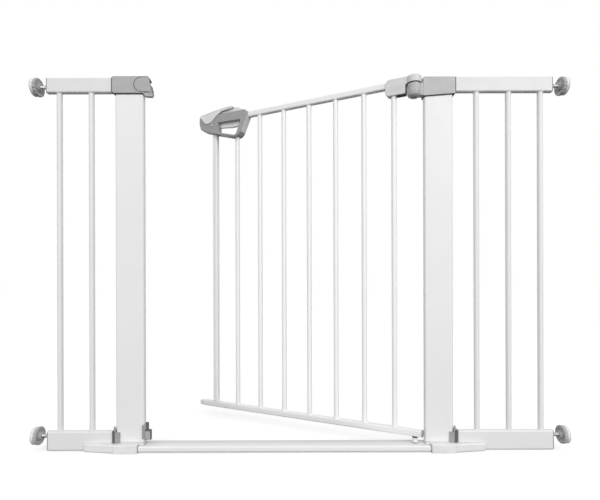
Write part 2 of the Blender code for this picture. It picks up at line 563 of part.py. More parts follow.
def main():
    clear_scene()
    frame()
    latch_striker()
    hinge_bracket()
    lower_keeper()
    outer_clip("left_outer_clip", -1, LEFT_INNER_X, POST_LEFT_X - POST_WIDTH / 2)
    outer_clip("right_outer_clip", 1, RIGHT_INNER_X, POST_RIGHT_X + POST_WIDTH / 2)
    extension("left", -1, LEFT_BARS_START_X, LEFT_BARS, -0.3796, LEFT_INNER_X)
    extension("right", 1, RIGHT_BARS_START_X, RIGHT_BARS, 0.3155, RIGHT_INNER_X)
    lower_hinge()

    lift = bpy.data.objects.new("lift_axis", None)
    lift.location = (HINGE_X, 0.0, 0.0)
    bpy.context.collection.objects.link(lift)
    leaf = bpy.data.objects.new("leaf_axis", None)
    leaf.parent = lift
    leaf.rotation_euler = (0.0, 0.0, -OPEN_ANGLE)
    bpy.context.collection.objects.link(leaf)
    leaf_frame(leaf)
    leaf_ends(leaf)
    leaf_hinge(leaf, lift)
    handle_shells(leaf)
    handle_works(leaf)


main()
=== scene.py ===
"""Looks of the pressure-mounted safety gate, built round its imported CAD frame.

Every piece takes its place and its main sizes from the CAD node that it stands for. Leaf pieces are
worked out in the leaf's own axes, where the shut leaf runs towards -X from the hinge pin.
"""

import cmath
import json
import math

import bmesh
import bpy
from mathutils import Euler, Matrix, Vector

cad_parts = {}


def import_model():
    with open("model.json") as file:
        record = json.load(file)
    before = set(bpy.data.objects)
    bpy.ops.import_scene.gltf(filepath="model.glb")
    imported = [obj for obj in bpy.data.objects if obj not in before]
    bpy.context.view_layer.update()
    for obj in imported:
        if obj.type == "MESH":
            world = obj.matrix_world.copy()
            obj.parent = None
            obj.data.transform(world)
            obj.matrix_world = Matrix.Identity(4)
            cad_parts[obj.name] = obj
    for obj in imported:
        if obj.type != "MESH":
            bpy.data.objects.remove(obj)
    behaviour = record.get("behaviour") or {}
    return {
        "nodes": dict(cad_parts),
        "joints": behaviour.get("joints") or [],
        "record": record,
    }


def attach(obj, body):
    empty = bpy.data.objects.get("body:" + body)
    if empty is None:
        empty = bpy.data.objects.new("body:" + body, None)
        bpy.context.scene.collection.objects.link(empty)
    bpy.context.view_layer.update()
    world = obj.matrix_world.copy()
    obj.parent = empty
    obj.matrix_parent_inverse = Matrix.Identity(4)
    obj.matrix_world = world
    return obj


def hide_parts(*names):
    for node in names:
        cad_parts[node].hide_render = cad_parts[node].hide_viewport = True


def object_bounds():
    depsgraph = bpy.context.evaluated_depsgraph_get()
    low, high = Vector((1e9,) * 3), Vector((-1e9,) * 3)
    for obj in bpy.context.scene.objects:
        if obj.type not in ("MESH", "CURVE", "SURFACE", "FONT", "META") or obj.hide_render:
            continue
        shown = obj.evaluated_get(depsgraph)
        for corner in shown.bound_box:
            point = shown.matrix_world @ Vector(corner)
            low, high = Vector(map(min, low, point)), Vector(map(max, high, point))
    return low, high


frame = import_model()
cad_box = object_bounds()

SWING = next(joint for joint in frame["joints"] if joint["name"] == "leaf_swing")
OPEN_ANGLE = math.radians(-SWING["range_deg"][0])
ROOM = Matrix.Identity(4)
LEAF = Matrix.Translation((SWING["pos_m"][0], 0, 0)) @ Matrix.Rotation(-OPEN_ANGLE, 4, "Z")
BODY_OF = {node: body for body, nodes in frame["record"]["behaviour"]["bodies"].items() for node in nodes}
LEAF_BODIES = ("leaf", "thumb_slider", "squeeze_trigger")
HANDLE_NODES = ("handle_front_shell", "handle_back_shell")
SIDES = (("left", -1), ("right", 1))
X, Y, Z = 0, 1, 2

# Clearances
GAP = 0.0003  # air between CAD pieces that touch
WALL = 0.0012  # tube wall
PLUG_INSET = WALL + 2 * GAP  # from a tube's outside to the plug inside it
SEAL = 0.0005  # width of the black strip between a shoe and the threshold, painted shade in their gap
SOLE = 0.0002  # the sleeves of the shoes stay this far off the floor
UNDER_CAPS = 0.7  # a height below both caps, where their cutters start
UNDER_HANDLE = 0.68
HINGE_LEVEL = 0.7445  # top of the bracket's barrel
KNUCKLE_FOOT = 0.7448  # the knuckle of the leaf's clip turns on it
PIN_BORE = 0.0043  # radius of the holes for hinge pins and spindles
PIVOT_BORE = 0.0021
SCREW_BORE = 0.0018

# Rounding
TUBE_ROUND = 0.003  # corner radius of the rectangular tubes
POST_ROUND = 0.004
CAP_ROUND = 0.0022  # corner radius of the caps' outlines
CAP_RIM = 0.001  # eased front and back edges of the caps
WINDOW_RIM = 0.0011
BEAD, BEAD_REACH = 0.0009, 0.0022
BEAD_FAN = [(1.0, 0.0), (0.55, 0.25), (0.25, 0.5), (0.07, 0.78), (0.0, 1.0)]
THREAD_PITCH, THREAD_DEPTH = 0.00125, 0.00062
CORNER_STEPS = 8
RIM_STEPS = 4
BAR_SIDES = 48
ROUND_SIDES = 72
SMALL_SIDES = 40
SHARP_ANGLE = math.radians(40)

# Tolerances for reading and joining meshes
WELD = 0.000001  # points closer than this are one point
CAD_WELD = 0.000005
SAME_LEVEL = 0.00003
ON_AXIS = 1e-7
SHORTEST_EDGE, LEAST_TURN = 1e-6, 0.01

# Studio
WORLD_LIGHT = 1.42  # radiance of the studio's front wall
SIDE_LIGHT, UNDER_LIGHT, OVER_LIGHT, BACK_LIGHT = 0.12, 0.08, 0.6, 0.7
FLOOR_COLOUR = (0.72, 0.72, 0.72)
FLOOR_GLOW = 0.42
FLOOR_RADIUS, ROOM_RADIUS = 30.0, 28.0
LENS, SENSOR_WIDTH, LENS_SHIFT = 25.5, 36.0, 0.053
CAMERA_PLACE = (0.0, -0.866, 0.342)
CAMERA_ROLL = math.radians(-0.155)
LAMP_AIM = (0.0, 0.0, 0.4)


# ---- materials

def node_material(name, colour, roughness, **settings):
    """A material with a Principled shader; settings name its sockets, with _ for a space."""
    material = bpy.data.materials.new(name)
    material.use_nodes = True
    shader = material.node_tree.nodes["Principled BSDF"]
    for socket, value in {"Base Color": (*colour, 1.0), "Roughness": roughness, **settings}.items():
        shader.inputs[socket.replace("_", " ")].default_value = value
    return material, material.node_tree, shader


def parts(tree, output):
    """The X, Y and Z of a texture coordinate."""
    place = tree.nodes.new("ShaderNodeTexCoord")
    split = tree.nodes.new("ShaderNodeSeparateXYZ")
    tree.links.new(place.outputs[output], split.inputs["Vector"])
    return split.outputs


def noise(tree, scale, detail=3.0, stretch=(1.0, 1.0, 1.0)):
    """Noise in object space; scale is in cells per metre."""
    place = tree.nodes.new("ShaderNodeTexCoord")
    mapping = tree.nodes.new("ShaderNodeMapping")
    mapping.inputs["Scale"].default_value = stretch
    texture = tree.nodes.new("ShaderNodeTexNoise")
    texture.inputs["Scale"].default_value = scale
    texture.inputs["Detail"].default_value = detail
    tree.links.new(place.outputs["Object"], mapping.inputs["Vector"])
    tree.links.new(mapping.outputs["Vector"], texture.inputs["Vector"])
    return texture.outputs["Fac"]


def ramp(tree, source, low, high, start=0.35, end=0.65):
    """A value spread over two numbers."""
    spread = tree.nodes.new("ShaderNodeMapRange")
    spread.inputs["From Min"].default_value = start
    spread.inputs["From Max"].default_value = end
    spread.inputs["To Min"].default_value = low
    spread.inputs["To Max"].default_value = high
    tree.links.new(source, spread.inputs["Value"])
    return spread.outputs["Result"]


def scaled(tree, factor):
    """A node that multiplies a colour, its first input, by a value that varies over the surface."""
    scale = tree.nodes.new("ShaderNodeVectorMath")
    scale.operation = "SCALE"
    tree.links.new(factor, scale.inputs["Scale"])
    return scale


def tint(tree, shader, colour, factor):
    scale = scaled(tree, factor)
    scale.inputs[0].default_value = colour
    tree.links.new(scale.outputs["Vector"], shader.inputs["Base Color"])


def relief(tree, shader, layers):
    """Bumps stacked on each other; a layer is (height output, distance in metres, strength)."""
    normal = None
    for height, distance, strength in layers:
        bump = tree.nodes.new("ShaderNodeBump")
        bump.inputs["Distance"].default_value = distance
        bump.inputs["Strength"].default_value = strength
        tree.links.new(height, bump.inputs["Height"])
        if normal:
            tree.links.new(normal, bump.inputs["Normal"])
        normal = bump.outputs["Normal"]
    tree.links.new(normal, shader.inputs["Normal"])


def product(tree, first, second):
    times = tree.nodes.new("ShaderNodeMath")
    times.operation = "MULTIPLY"
    tree.links.new(first, times.inputs[0])
    tree.links.new(second, times.inputs[1])
    return times.outputs["Value"]


def powder_coat(name, colour):
    """Baked white powder coat: faint orange peel, tiny specks and slow changes of tone and gloss."""
    material, tree, shader = node_material(name, colour, 0.38, Specular_IOR_Level=0.45, Coat_Weight=0.12,
                                           Coat_Roughness=0.22)
    cloud = noise(tree, 9.0, 4.0)
    speck = noise(tree, 1400.0, 2.0)
    tone = product(tree, ramp(tree, cloud, 0.985, 1.01), ramp(tree, speck, 0.975, 1.0, 0.28, 0.36))
    tint(tree, shader, colour, tone)
    tree.links.new(ramp(tree, noise(tree, 45.0, 3.0), 0.32, 0.44), shader.inputs["Roughness"])
    peel, fine = noise(tree, 420.0, 2.0), noise(tree, 1800.0, 3.0)
    relief(tree, shader, [(peel, 0.00012, 0.35), (fine, 0.00003, 0.3)])
    return material


def rear_shaded_coat(name, colour, rear):
    """The powder coat of the threshold, with painted shade that darkens it towards its rear edge."""
    material = powder_coat(name, colour)
    tree = material.node_tree
    base = tree.nodes["Principled BSDF"].inputs["Base Color"]
    # Painted shade: the colour falls to rear of itself towards the back edge of the top.
    wear_and_painted_shade = scaled(tree, ramp(tree, parts(tree, "Object")["Y"], 1.0, rear, -0.008, 0.017))
    tree.links.new(base.links[0].from_socket, wear_and_painted_shade.inputs[0])
    tree.links.new(wear_and_painted_shade.outputs["Vector"], base)
    return material


def moulded(name, colour, roughness=0.5, grain=1500.0, depth=0.00006):
    """Moulded plastic: spark-eroded grain, soft flow marks and rubbed patches."""
    material, tree, shader = node_material(name, colour, roughness, Specular_IOR_Level=0.4)
    flow = noise(tree, 28.0, 5.0, (1.0, 1.0, 2.4))
    speck = noise(tree, 2200.0, 2.0)
    tint(tree, shader, colour, product(tree, ramp(tree, flow, 0.95, 1.04), ramp(tree, speck, 0.95, 1.02)))
    wear_and_painted_shade = noise(tree, 70.0, 4.0)
    tree.links.new(ramp(tree, wear_and_painted_shade, roughness - 0.07, roughness + 0.08), shader.inputs["Roughness"])
    cells = tree.nodes.new("ShaderNodeTexVoronoi")
    cells.inputs["Scale"].default_value = grain
    place = tree.nodes.new("ShaderNodeTexCoord")
    tree.links.new(place.outputs["Object"], cells.inputs["Vector"])
    waves = noise(tree, 900.0, 3.0)
    relief(tree, shader, [(cells.outputs["Distance"], depth, 0.35), (waves, depth / 2, 0.3)])
    return material


def zinc(name, colour, lines=(1.0, 1.0, 1.0)):
    """Zinc-plated steel: bright, with spangle, drawn lines and duller patches."""
    material, tree, shader = node_material(name, colour, 0.28, Metallic=1.0)
    patch = noise(tree, 160.0, 3.0)
    line = noise(tree, 1500.0, 3.0, lines)
    tint(tree, shader, colour, product(tree, ramp(tree, patch, 0.86, 1.04), ramp(tree, line, 0.9, 1.04)))
    tree.links.new(ramp(tree, patch, 0.22, 0.4), shader.inputs["Roughness"])
    relief(tree, shader, [(line, 0.00003, 0.4), (patch, 0.00006, 0.2)])
    return material


def rubber(name, colour):
    """Soft rubber: matt, with fine pores and dusty patches."""
    material, tree, shader = node_material(name, colour, 0.8, Specular_IOR_Level=0.25, Sheen_Weight=0.15,
                                           Sheen_Roughness=0.5)
    dust = noise(tree, 60.0, 5.0)
    tint(tree, shader, colour, ramp(tree, dust, 0.88, 1.08))
    pores, swells = noise(tree, 2600.0, 2.0), noise(tree, 300.0, 3.0)
    relief(tree, shader, [(pores, 0.00005, 0.5), (swells, 0.0001, 0.25)])
    return material


def grey(level):
    """A grey with a trace of blue."""
    return (level, level, level + 0.008)


# The gate has one white powder coat. The copies below differ only as painted light and shade: the extension's
# rails are darker, and the threshold and the leaf's rails, bars and upright are lighter, as each part is lit.
COAT = powder_coat("white_powder_coat", (0.8, 0.8, 0.805))
SHADED_EXTENSION_COAT = powder_coat("extension_shaded_powder_coat", (0.7, 0.7, 0.705))
LIT_BAR_COAT = powder_coat("leaf_bar_lit_powder_coat", (0.9, 0.9, 0.905))
THRESHOLD_COAT = rear_shaded_coat("threshold_powder_coat", (0.82, 0.82, 0.825), 0.72)
SHADED_LOWER_COAT = powder_coat("extension_lower_shaded_powder_coat", (0.76, 0.76, 0.765))
LIT_RAIL_COAT = powder_coat("leaf_rail_lit_powder_coat", (0.83, 0.83, 0.835))
WHITE = moulded("white_moulded_plastic", (0.8, 0.8, 0.795), 0.42, 1800.0)
GREYS = {name: moulded(name + "_grey_plastic", grey(level), roughness) for name, level, roughness in (
    # The trigger's grey is a lighter copy of the light plastic: painted light on its shaded front.
    ("striker", 0.4, 0.42), ("clip", 0.48, 0.4), ("handle", 0.35, 0.4), ("trigger", 0.9, 0.4),
    # The light grey of the strip on the handle's arm is a painted highlight.
    ("leaf_clip", 0.66, 0.4), ("arm_highlight", 0.74, 0.45), ("light", 0.78, 0.38), ("wheel", 0.42, 0.45),
    ("foot", 0.33, 0.48), ("dark", 0.13, 0.45), ("catch", 0.11, 0.4))}
PALE_RUBBER = rubber("pale_rubber", (0.74, 0.74, 0.735))
# Black rubber for the washers and the insert rings. The same black also paints shade as strips under the
# caps, in joints and at the leaf clip's edges.
BLACK_RUBBER = rubber("black_rubber", (0.035, 0.035, 0.037))
ZINC = zinc("zinc_plate", (0.68, 0.68, 0.69))
ZINC_ROD = zinc("zinc_rod", (0.72, 0.72, 0.73), (0.05, 1.0, 1.0))


# ---- reading the frame

def place_of(node):
    """The axes that a node is worked out in."""
    return LEAF if BODY_OF[node] in LEAF_BODIES else ROOM


def points_of(node):
    """A CAD node's vertices in the room's or the leaf's axes."""
    back = place_of(node).inverted()
    return [back @ vert.co for vert in frame["nodes"][node].data.vertices]


def span(node):
    """Lowest and highest corner of a CAD node."""
    points = points_of(node)
    return (Vector([min(p[axis] for p in points) for axis in range(3)]),
            Vector([max(p[axis] for p in points) for axis in range(3)]))


def middle(node):
    """Centre of a CAD node's box."""
    return [(a + b) / 2 for a, b in zip(*span(node))]


def roomy(box):
    """A box with air all round it."""
    return [value - GAP for value in box[0]], [value + GAP for value in box[1]]


def area(outline):
    return sum(outline[k - 1][0] * outline[k][1] - outline[k][0] * outline[k - 1][1]
               for k in range(len(outline))) / 2


def face_outlines(node, axis, side, level=None):
    """Outlines of a CAD node's flat face at a level (its end face by default), the largest first."""
    bm = bmesh.new()
    bm.from_mesh(frame["nodes"][node].data)
    bm.transform(place_of(node).inverted())
    bmesh.ops.remove_doubles(bm, verts=bm.verts, dist=CAD_WELD)
    if level is None:
        level = side * max(side * vert.co[axis] for vert in bm.verts)
    flat_faces = [face for face in bm.faces
                  if all(abs(vert.co[axis] - level) < SAME_LEVEL for vert in face.verts)]
    follow = {}
    for face in flat_faces:
        for loop in face.loops:
            if not any(other in flat_faces for other in loop.edge.link_faces if other is not face):
                follow[loop.vert] = loop.link_loop_next.vert
    outlines = []
    while follow:
        start, vert = next(iter(follow.items()))
        chain = [start]
        del follow[start]
        while vert is not start and vert in follow:
            chain.append(vert)
            vert = follow.pop(vert)
        flat = [tuple(v.co[k] for k in range(3) if k != axis) for v in chain]
        outlines.append(straightened(flat))
    bm.free()
    outlines.sort(key=lambda outline: -abs(area(outline)))
    return [outline if area(outline) > 0 else outline[::-1] for outline in outlines]


def straightened(outline):
    """The outline without the points that lie on a straight run."""
    kept = []
    for k, here in enumerate(outline):
        before, after = outline[k - 1], outline[(k + 1) % len(outline)]
        one = complex(here[0] - before[0], here[1] - before[1])
        two = complex(after[0] - here[0], after[1] - here[1])
        if min(abs(one), abs(two)) > SHORTEST_EDGE and abs(cmath.phase(two / one)) > LEAST_TURN:
            kept.append(here)
    return kept


# ---- outlines

def pairs(points):
    return [(point.real, point.imag) for point in points]


def turn_at(points, k):
    """How far the outline turns left at a corner."""
    count = len(points)
    return cmath.phase((points[(k + 1) % count] - points[k]) / (points[k] - points[k - 1]))


def crossing(a, b, c, d):
    """Where the line through a and b meets the line through c and d."""
    one, two = b - a, d - c
    return a + one * ((c - a) * two.conjugate()).imag / (one * two.conjugate()).imag


def sharpened(points, radius):
    """The outline with each edge that is too short for its two rounds replaced by one corner."""
    points = list(points)
    k = 0
    while k < len(points):
        after = (k + 1) % len(points)
        here, there = turn_at(points, k), turn_at(points, after)
        room = abs(points[after] - points[k])
        if min(here, there) > 0 and radius * (math.tan(here / 2) + math.tan(there / 2)) > 0.98 * room:
            points[k] = crossing(points[k - 1], points[k], points[after], points[(k + 2) % len(points)])
            del points[after]
            k = 0
        else:
            k += 1
    return points


def fillet(outline, radius, steps=6):
    """The counter-clockwise outline with its corners rounded by arcs."""
    corners = sharpened([complex(*point) for point in outline], radius)
    points = []
    for k, here in enumerate(corners):
        before, after = corners[k - 1] - here, corners[(k + 1) % len(corners)] - here
        turn = turn_at(corners, k)
        reach = min(radius * math.tan(abs(turn) / 2), 0.49 * abs(before), 0.49 * abs(after))
        if turn > 0:
            reach = radius * math.tan(turn / 2)
        start = here + before / abs(before) * reach
        end = here + after / abs(after) * reach
        bisector = before / abs(before) + after / abs(after)
        centre = here + bisector / abs(bisector) * reach / math.sin(abs(turn) / 2)
        sweep = cmath.phase((end - centre) / (start - centre))
        count = max(1, round(steps * abs(sweep) / (math.pi / 2)))
        points += [centre + (start - centre) * cmath.exp(1j * sweep * step / count)
                   for step in range(count + 1)]
    return pairs(points)


def inset(outline, distance):
    """A counter-clockwise outline moved inwards, or outwards by a negative distance."""
    points = [complex(*point) for point in outline]
    moved = []
    for k, here in enumerate(points):
        one, two = here - points[k - 1], points[(k + 1) % len(points)] - here
        total = 1j * one / abs(one) + 1j * two / abs(two)
        moved.append(here + total * 2 * distance / max(abs(total) ** 2, 0.5))
    return pairs(moved)


def rectangle(a_range, b_range):
    return [(a_range[0], b_range[0]), (a_range[1], b_range[0]), (a_range[1], b_range[1]),
            (a_range[0], b_range[1])]


def rounded(a_range, b_range, radius, steps=6):
    """A rectangle with round corners."""
    return fillet(rectangle(a_range, b_range), radius, steps)


def circle(radius, sides=ROUND_SIDES, centre=(0.0, 0.0)):
    return [(centre[0] + radius * math.cos(math.tau * k / sides),
             centre[1] + radius * math.sin(math.tau * k / sides)) for k in range(sides)]


def ribbon(path, width):
    """A thin closed outline of a given width along an open path."""
    points = [complex(*point) for point in path]
    sides = []
    for k, here in enumerate(points):
        along = points[min(k + 1, len(points) - 1)] - points[max(k - 1, 0)]
        sides.append(1j * along / abs(along) * width / 2)
    left = [here + side for here, side in zip(points, sides)]
    right = [here - side for here, side in zip(points, sides)]
    outline = pairs(left + right[::-1])
    return outline if area(outline) > 0 else outline[::-1]


# ---- solids

def put(axis, a, b, along):
    return {X: (along, a, b), Y: (a, along, b), Z: (a, b, along)}[axis]


def new_object(name, data):
    item = bpy.data.objects.new(name, data)
    bpy.context.scene.collection.objects.link(item)
    return item


def skin(bm, rings, caps):
    """A closed mesh over rings of vertices as a working object, its faces pointing out."""
    for low, high in zip(rings, rings[1:]):
        for k in range(len(low)):
            bm.faces.new(list(dict.fromkeys((low[k - 1], low[k], high[k], high[k - 1]))))
    if caps:
        bm.faces.new(rings[0])
        bm.faces.new(rings[-1][::-1])
    bmesh.ops.recalc_face_normals(bm, faces=bm.faces)
    mesh = bpy.data.meshes.new("work")
    bm.to_mesh(mesh)
    bm.free()
    return new_object("work", mesh)


def loft(axis, sections, closed=False):
    """A solid through outlines of equal length, given as (outline, distance along the axis)."""
    bm = bmesh.new()
    rings = [[bm.verts.new(put(axis, a, b, along)) for a, b in outline] for outline, along in sections]
    return skin(bm, rings + rings[:1] if closed else rings, not closed)


def rim_sections(outline, rim, end, way):
    """Sections of a rounded rim, from its end face to the full outline."""
    turns = [math.pi / 2 * step / RIM_STEPS for step in range(RIM_STEPS + 1)]
    return [(inset(outline, rim * (1 - math.sin(turn))), end + way * rim * (1 - math.cos(turn)))
            for turn in turns]


def slab(axis, outline, near, far, near_rim=0.0, far_rim=0.0):
    """An outline carried from near to far, with its two rims rounded over."""
    way = 1 if far > near else -1
    start = rim_sections(outline, near_rim, near, way) if near_rim else [(outline, near)]
    end = rim_sections(outline, far_rim, far, -way)[::-1] if far_rim else [(outline, far)]
    return loft(axis, start + end)


def block(low, high):
    """A plain cutter or core from corner to corner."""
    return slab(Z, rectangle((low[0], high[0]), (low[1], high[1])), low[2], high[2])


def lathe(profile, axis, centre, way=1, sides=ROUND_SIDES, ripple=None):
    """A (radius, distance) profile turned about an axis; ripple(angle, radius) adds to the radius."""
    bm = bmesh.new()
    rings = []
    for radius, height in profile:
        off_axis = radius > ON_AXIS
        ring = []
        for k in range(sides if off_axis else 1):
            angle = math.tau * k / sides
            r = radius + (ripple(angle, radius) if ripple and off_axis else 0.0)
            x, y, z = put(axis, r * math.cos(angle), r * math.sin(angle), height * way)
            ring.append(bm.verts.new((x + centre[0], y + centre[1], z + centre[2])))
        rings.append(ring if off_axis else ring * sides)
    if profile[0][0] > ON_AXIS:
        rings.append(rings[0])
    return skin(bm, rings, False)


def bake(item):
    """Applies an object's modifiers."""
    graph = bpy.context.evaluated_depsgraph_get()
    graph.update()
    mesh = bpy.data.meshes.new_from_object(item.evaluated_get(graph))
    item.modifiers.clear()
    item.data = mesh
    return item


def welded(item):
    """Joins the points that a boolean leaves in one place, which closes slits of no width."""
    bm = bmesh.new()
    bm.from_mesh(item.data)
    bmesh.ops.remove_doubles(bm, verts=bm.verts, dist=WELD)
    bm.to_mesh(item.data)
    bm.free()
    return item


def joined(target, operation, *tools):
    """Union, difference or intersection with other working objects, which are used up."""
    for tool in tools:
        modifier = target.modifiers.new("join", "BOOLEAN")
        modifier.operation = operation
        modifier.object = tool
    bake(target)
    for tool in tools:
        bpy.data.objects.remove(tool, do_unlink=True)
    return welded(target)


def cut(target, *tools):
    return joined(target, "DIFFERENCE", *tools)


def united(target, *tools):
    return joined(target, "UNION", *tools)


def bevelled(item, width, segments=3):
    """Small rounds on every edge of a simple solid."""
    modifier = item.modifiers.new("edges", "BEVEL")
    modifier.width = width
    modifier.segments = segments
    modifier.limit_method = "ANGLE"
    modifier.angle_limit = math.radians(32)
    modifier.miter_outer = "MITER_ARC"
    return bake(item)


def finish_piece(item, name, node, material, stands_for=()):
    """Names, shades and places a piece, ties it to its body and hides the CAD nodes that it stands for."""
    item.name = name
    item.data.name = name
    item.data.materials.clear()
    item.data.materials.append(material)
    item.data.shade_smooth()
    item.data.set_sharp_from_angle(angle=SHARP_ANGLE)
    weighted = item.modifiers.new("even_shading", "WEIGHTED_NORMAL")
    weighted.keep_sharp = True
    bake(item)
    item.matrix_world = place_of(node)
    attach(item, BODY_OF[node])
    if stands_for:
        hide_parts(*stands_for)


def piece(item, node, material):
    """A piece that stands for one CAD node."""
    finish_piece(item, node + "_form", node, material, (node,))


def extra(item, name, node, material):
    """A further piece that goes with a CAD node's body."""
    finish_piece(item, name, node, material)


def through(node, outline, rim):
    """A slab over a node's whole depth, with both rims rounded."""
    low, high = span(node)
    return slab(Y, outline, low[1], high[1], rim, rim)


def turned(profile, node, material, axis, centre):
    """A small turned piece that stands for one CAD node."""
    piece(lathe(profile, axis, centre, 1, SMALL_SIDES), node, material)


def edged_box(ranges, edge):
    """A block with every edge rounded."""
    low, high = zip(*[sorted(pair) for pair in ranges])
    return bevelled(block(low, high), edge)


def plug(tube_box, x_from, x_to):
    """A core inside a tube between two places along it, with air to its walls."""
    low, high = tube_box
    return block((x_from, low[1] + PLUG_INSET, low[2] + PLUG_INSET),
                 (x_to, high[1] - PLUG_INSET, high[2] - PLUG_INSET))


# ---- tubes

def tube(axis, outer, inner, start, end, rim=0.0004):
    """A hollow section with eased ends."""
    way = 1 if end > start else -1
    near, far = (start, start + way * rim), (end, end - way * rim)
    return loft(axis, [(inner, near[1]), (inset(inner, -rim), near[0]), (inset(outer, rim), near[0]),
                       (outer, near[1]), (outer, far[1]), (inset(outer, rim), far[0]),
                       (inset(inner, -rim), far[0]), (inner, far[1])], True)


def flat_tube(node, axis, corner=TUBE_ROUND, coat=COAT):
    """A rounded rectangular steel tube along one of its axes."""
    low, high = span(node)
    sides = [(low[k], high[k]) for k in range(3) if k != axis]
    outer = rounded(*sides, corner, CORNER_STEPS)
    piece(tube(axis, outer, inset(outer, WALL), low[axis], high[axis]), node, coat)


def round_bar(node, seed, weld_top=True, coat=COAT):
    """A round steel bar with a small weld fillet where it meets a rail."""
    low, high = span(node)
    x, y, _ = middle(node)
    radius = (high[0] - low[0]) / 2
    bottom = low[2] - GAP
    top = high[2] + (GAP if weld_top else 0.0)
    profile = [(0.0, bottom)] + [(radius + BEAD * out, bottom + BEAD_REACH * up) for out, up in BEAD_FAN]
    if weld_top:
        profile += [(radius + BEAD * out, top - BEAD_REACH * up) for out, up in BEAD_FAN[::-1]]
    else:
        profile.append((radius, top))
    profile.append((0.0, top))

    def ripple(angle, r):
        share = (r - radius) / BEAD
        return share * BEAD * 0.3 * (math.sin(3 * angle + seed) + 0.6 * math.sin(7 * angle + 2.3 * seed))

    piece(lathe(profile, Z, (x, y, 0.0), 1, BAR_SIDES, ripple), node, coat)


def tubes():
    # The extension's rails take darker copies of the white coat, and the threshold and the leaf's rails, bars
    # and upright take lighter ones: painted shade and painted light.
    for side, _ in SIDES:
        flat_tube(side + "_post", Z, POST_ROUND)
        flat_tube(side + "_top_rail", X, coat=SHADED_EXTENSION_COAT)
        flat_tube(side + "_bottom_rail", X, coat=SHADED_LOWER_COAT)
    flat_tube("threshold_bar", X, coat=THRESHOLD_COAT)
    for seed, node in enumerate(["left_bar_1", "left_bar_2", "right_bar_1", "right_bar_2", "right_bar_3"]):
        round_bar(node, seed)
    flat_tube("leaf_top_rail", X, coat=LIT_RAIL_COAT)
    flat_tube("leaf_bottom_rail", X, coat=LIT_RAIL_COAT)
    flat_tube("latch_upright", Z, coat=LIT_BAR_COAT)
    for number in range(1, 8):         # the first and the last end inside the clip and the handle
        round_bar(f"leaf_bar_{number}", number + 10, 1 < number < 7, LIT_BAR_COAT)


# ---- frame's caps, feet and catches

def striker_pocket():
    return block((-0.3072, -0.005, 0.7409), (-0.28, 0.03, 0.7509))


def post_socket(side):
    """Outline and top of the hole that a cap has for its post."""
    low, high = roomy(span(side + "_post"))
    return rounded((low[0], high[0]), (low[1], high[1]), POST_ROUND), high[2]


def rail_ring(rail_node, x, way, half, node):
    """A black ring between a cap and the rail that is pushed on to it: painted shade in that joint."""
    low, high = span(rail_node)
    near, far = sorted((x, x + way * 0.001))
    half -= 0.0004
    ring = block((near, -half, low[2] + 0.0004), (far, half, high[2] - 0.0014))
    hole = block((x - 0.01, low[1] - GAP, low[2] - GAP), (x + 0.01, high[1] + GAP, high[2] + GAP))
    extra(cut(ring, hole), node + "_rail_ring", node, BLACK_RUBBER)


def gasket(strip, half, post_outline, node):
    """A black strip under a cap, round the post: painted shade that shows as a line under the cap."""
    half -= 0.0002
    seal = slab(Y, strip, -half, half)
    extra(cut(seal, slab(Z, post_outline, UNDER_CAPS, 0.74)), node + "_gasket", node, BLACK_RUBBER)


def striker():
    """The left cap: rounded body, a D-shaped panel line and the pocket open to the back."""
    low, high = span("latch_striker")
    outline = fillet(face_outlines("latch_striker", Y, -1)[0], CAP_ROUND)
    body = through("latch_striker", outline, CAP_RIM)
    tongue = plug(span("left_top_rail"), low[0], -0.378)
    socket_outline, socket_top = post_socket("left")
    socket = slab(Z, socket_outline, UNDER_CAPS, socket_top)
    behind_nub = block((-0.3161, -0.001, UNDER_CAPS), (-0.28, 0.03, 0.724))
    (hub_x, hub_z), radius, steps = (-0.3199, 0.7416), 0.0146, 28
    turns = [math.pi / 2 + math.pi * k / steps for k in range(steps + 1)]
    arc = [(hub_x + radius * math.cos(turn), hub_z + radius * math.sin(turn)) for turn in turns]
    path = [(-0.3062, hub_z + radius)] + arc + [(-0.3007, hub_z - radius)]
    before = low[1] - 0.002            # the grooves' cutters start in front of the face
    groove = slab(Y, ribbon(path, 0.0015), before, low[1] + 0.0008)
    chin = slab(Y, ribbon([(-0.3147, 0.7252), (-0.2987, 0.7234)], 0.0012), before, low[1] + 0.0007)
    piece(cut(united(body, tongue), socket, striker_pocket(), behind_nub, groove, chin), "latch_striker",
          GREYS["striker"])
    # Dark strips at the bottoms of the panel and chin grooves: painted shade in the recesses.
    for name, line in (("panel", path[1:]), ("chin", [(-0.3143, 0.72515), (-0.299, 0.72343)])):
        groove_shade = slab(Y, ribbon(line, 0.001), low[1] + 0.0004, low[1] + 0.0009)
        extra(groove_shade, f"latch_striker_{name}_line", "latch_striker", GREYS["catch"])
    # A dark sheet through the cap along its slanted edge by the pocket: painted shade on that edge.
    edge = slab(Y, ribbon([(-0.2991, 0.728), (-0.3045, 0.7553)], 0.001), low[1] + 0.0012, high[1] - 0.0012)
    extra(cut(edge, striker_pocket()), "latch_striker_edge", "latch_striker", GREYS["catch"])
    gasket(rectangle((-0.375, -0.3162), (0.7219, 0.7244)), -low[1], socket_outline, "latch_striker")
    rail_ring("left_top_rail", -0.3793, -1, -low[1], "latch_striker")


def barrel(foot, top, hinge_x):
    """The barrel of the top hinge, with a stepped foot and a ring groove above it."""
    rise = [(0.0, 0.0), (0.009, 0.0), (0.0102, 0.0008), (0.0116, 0.0019), (0.0122, 0.0026), (0.0131, 0.0032),
            (0.0135, 0.004), (0.0135, 0.0058), (0.0128, 0.0063), (0.0128, 0.007), (0.0135, 0.0075)]
    profile = [(radius, foot + up) for radius, up in rise]
    profile += [(0.0135, top - 0.0016), (0.013, top - 0.0006), (0.012, top), (0.0, top)]
    return lathe(profile, Z, (hinge_x, 0, 0))


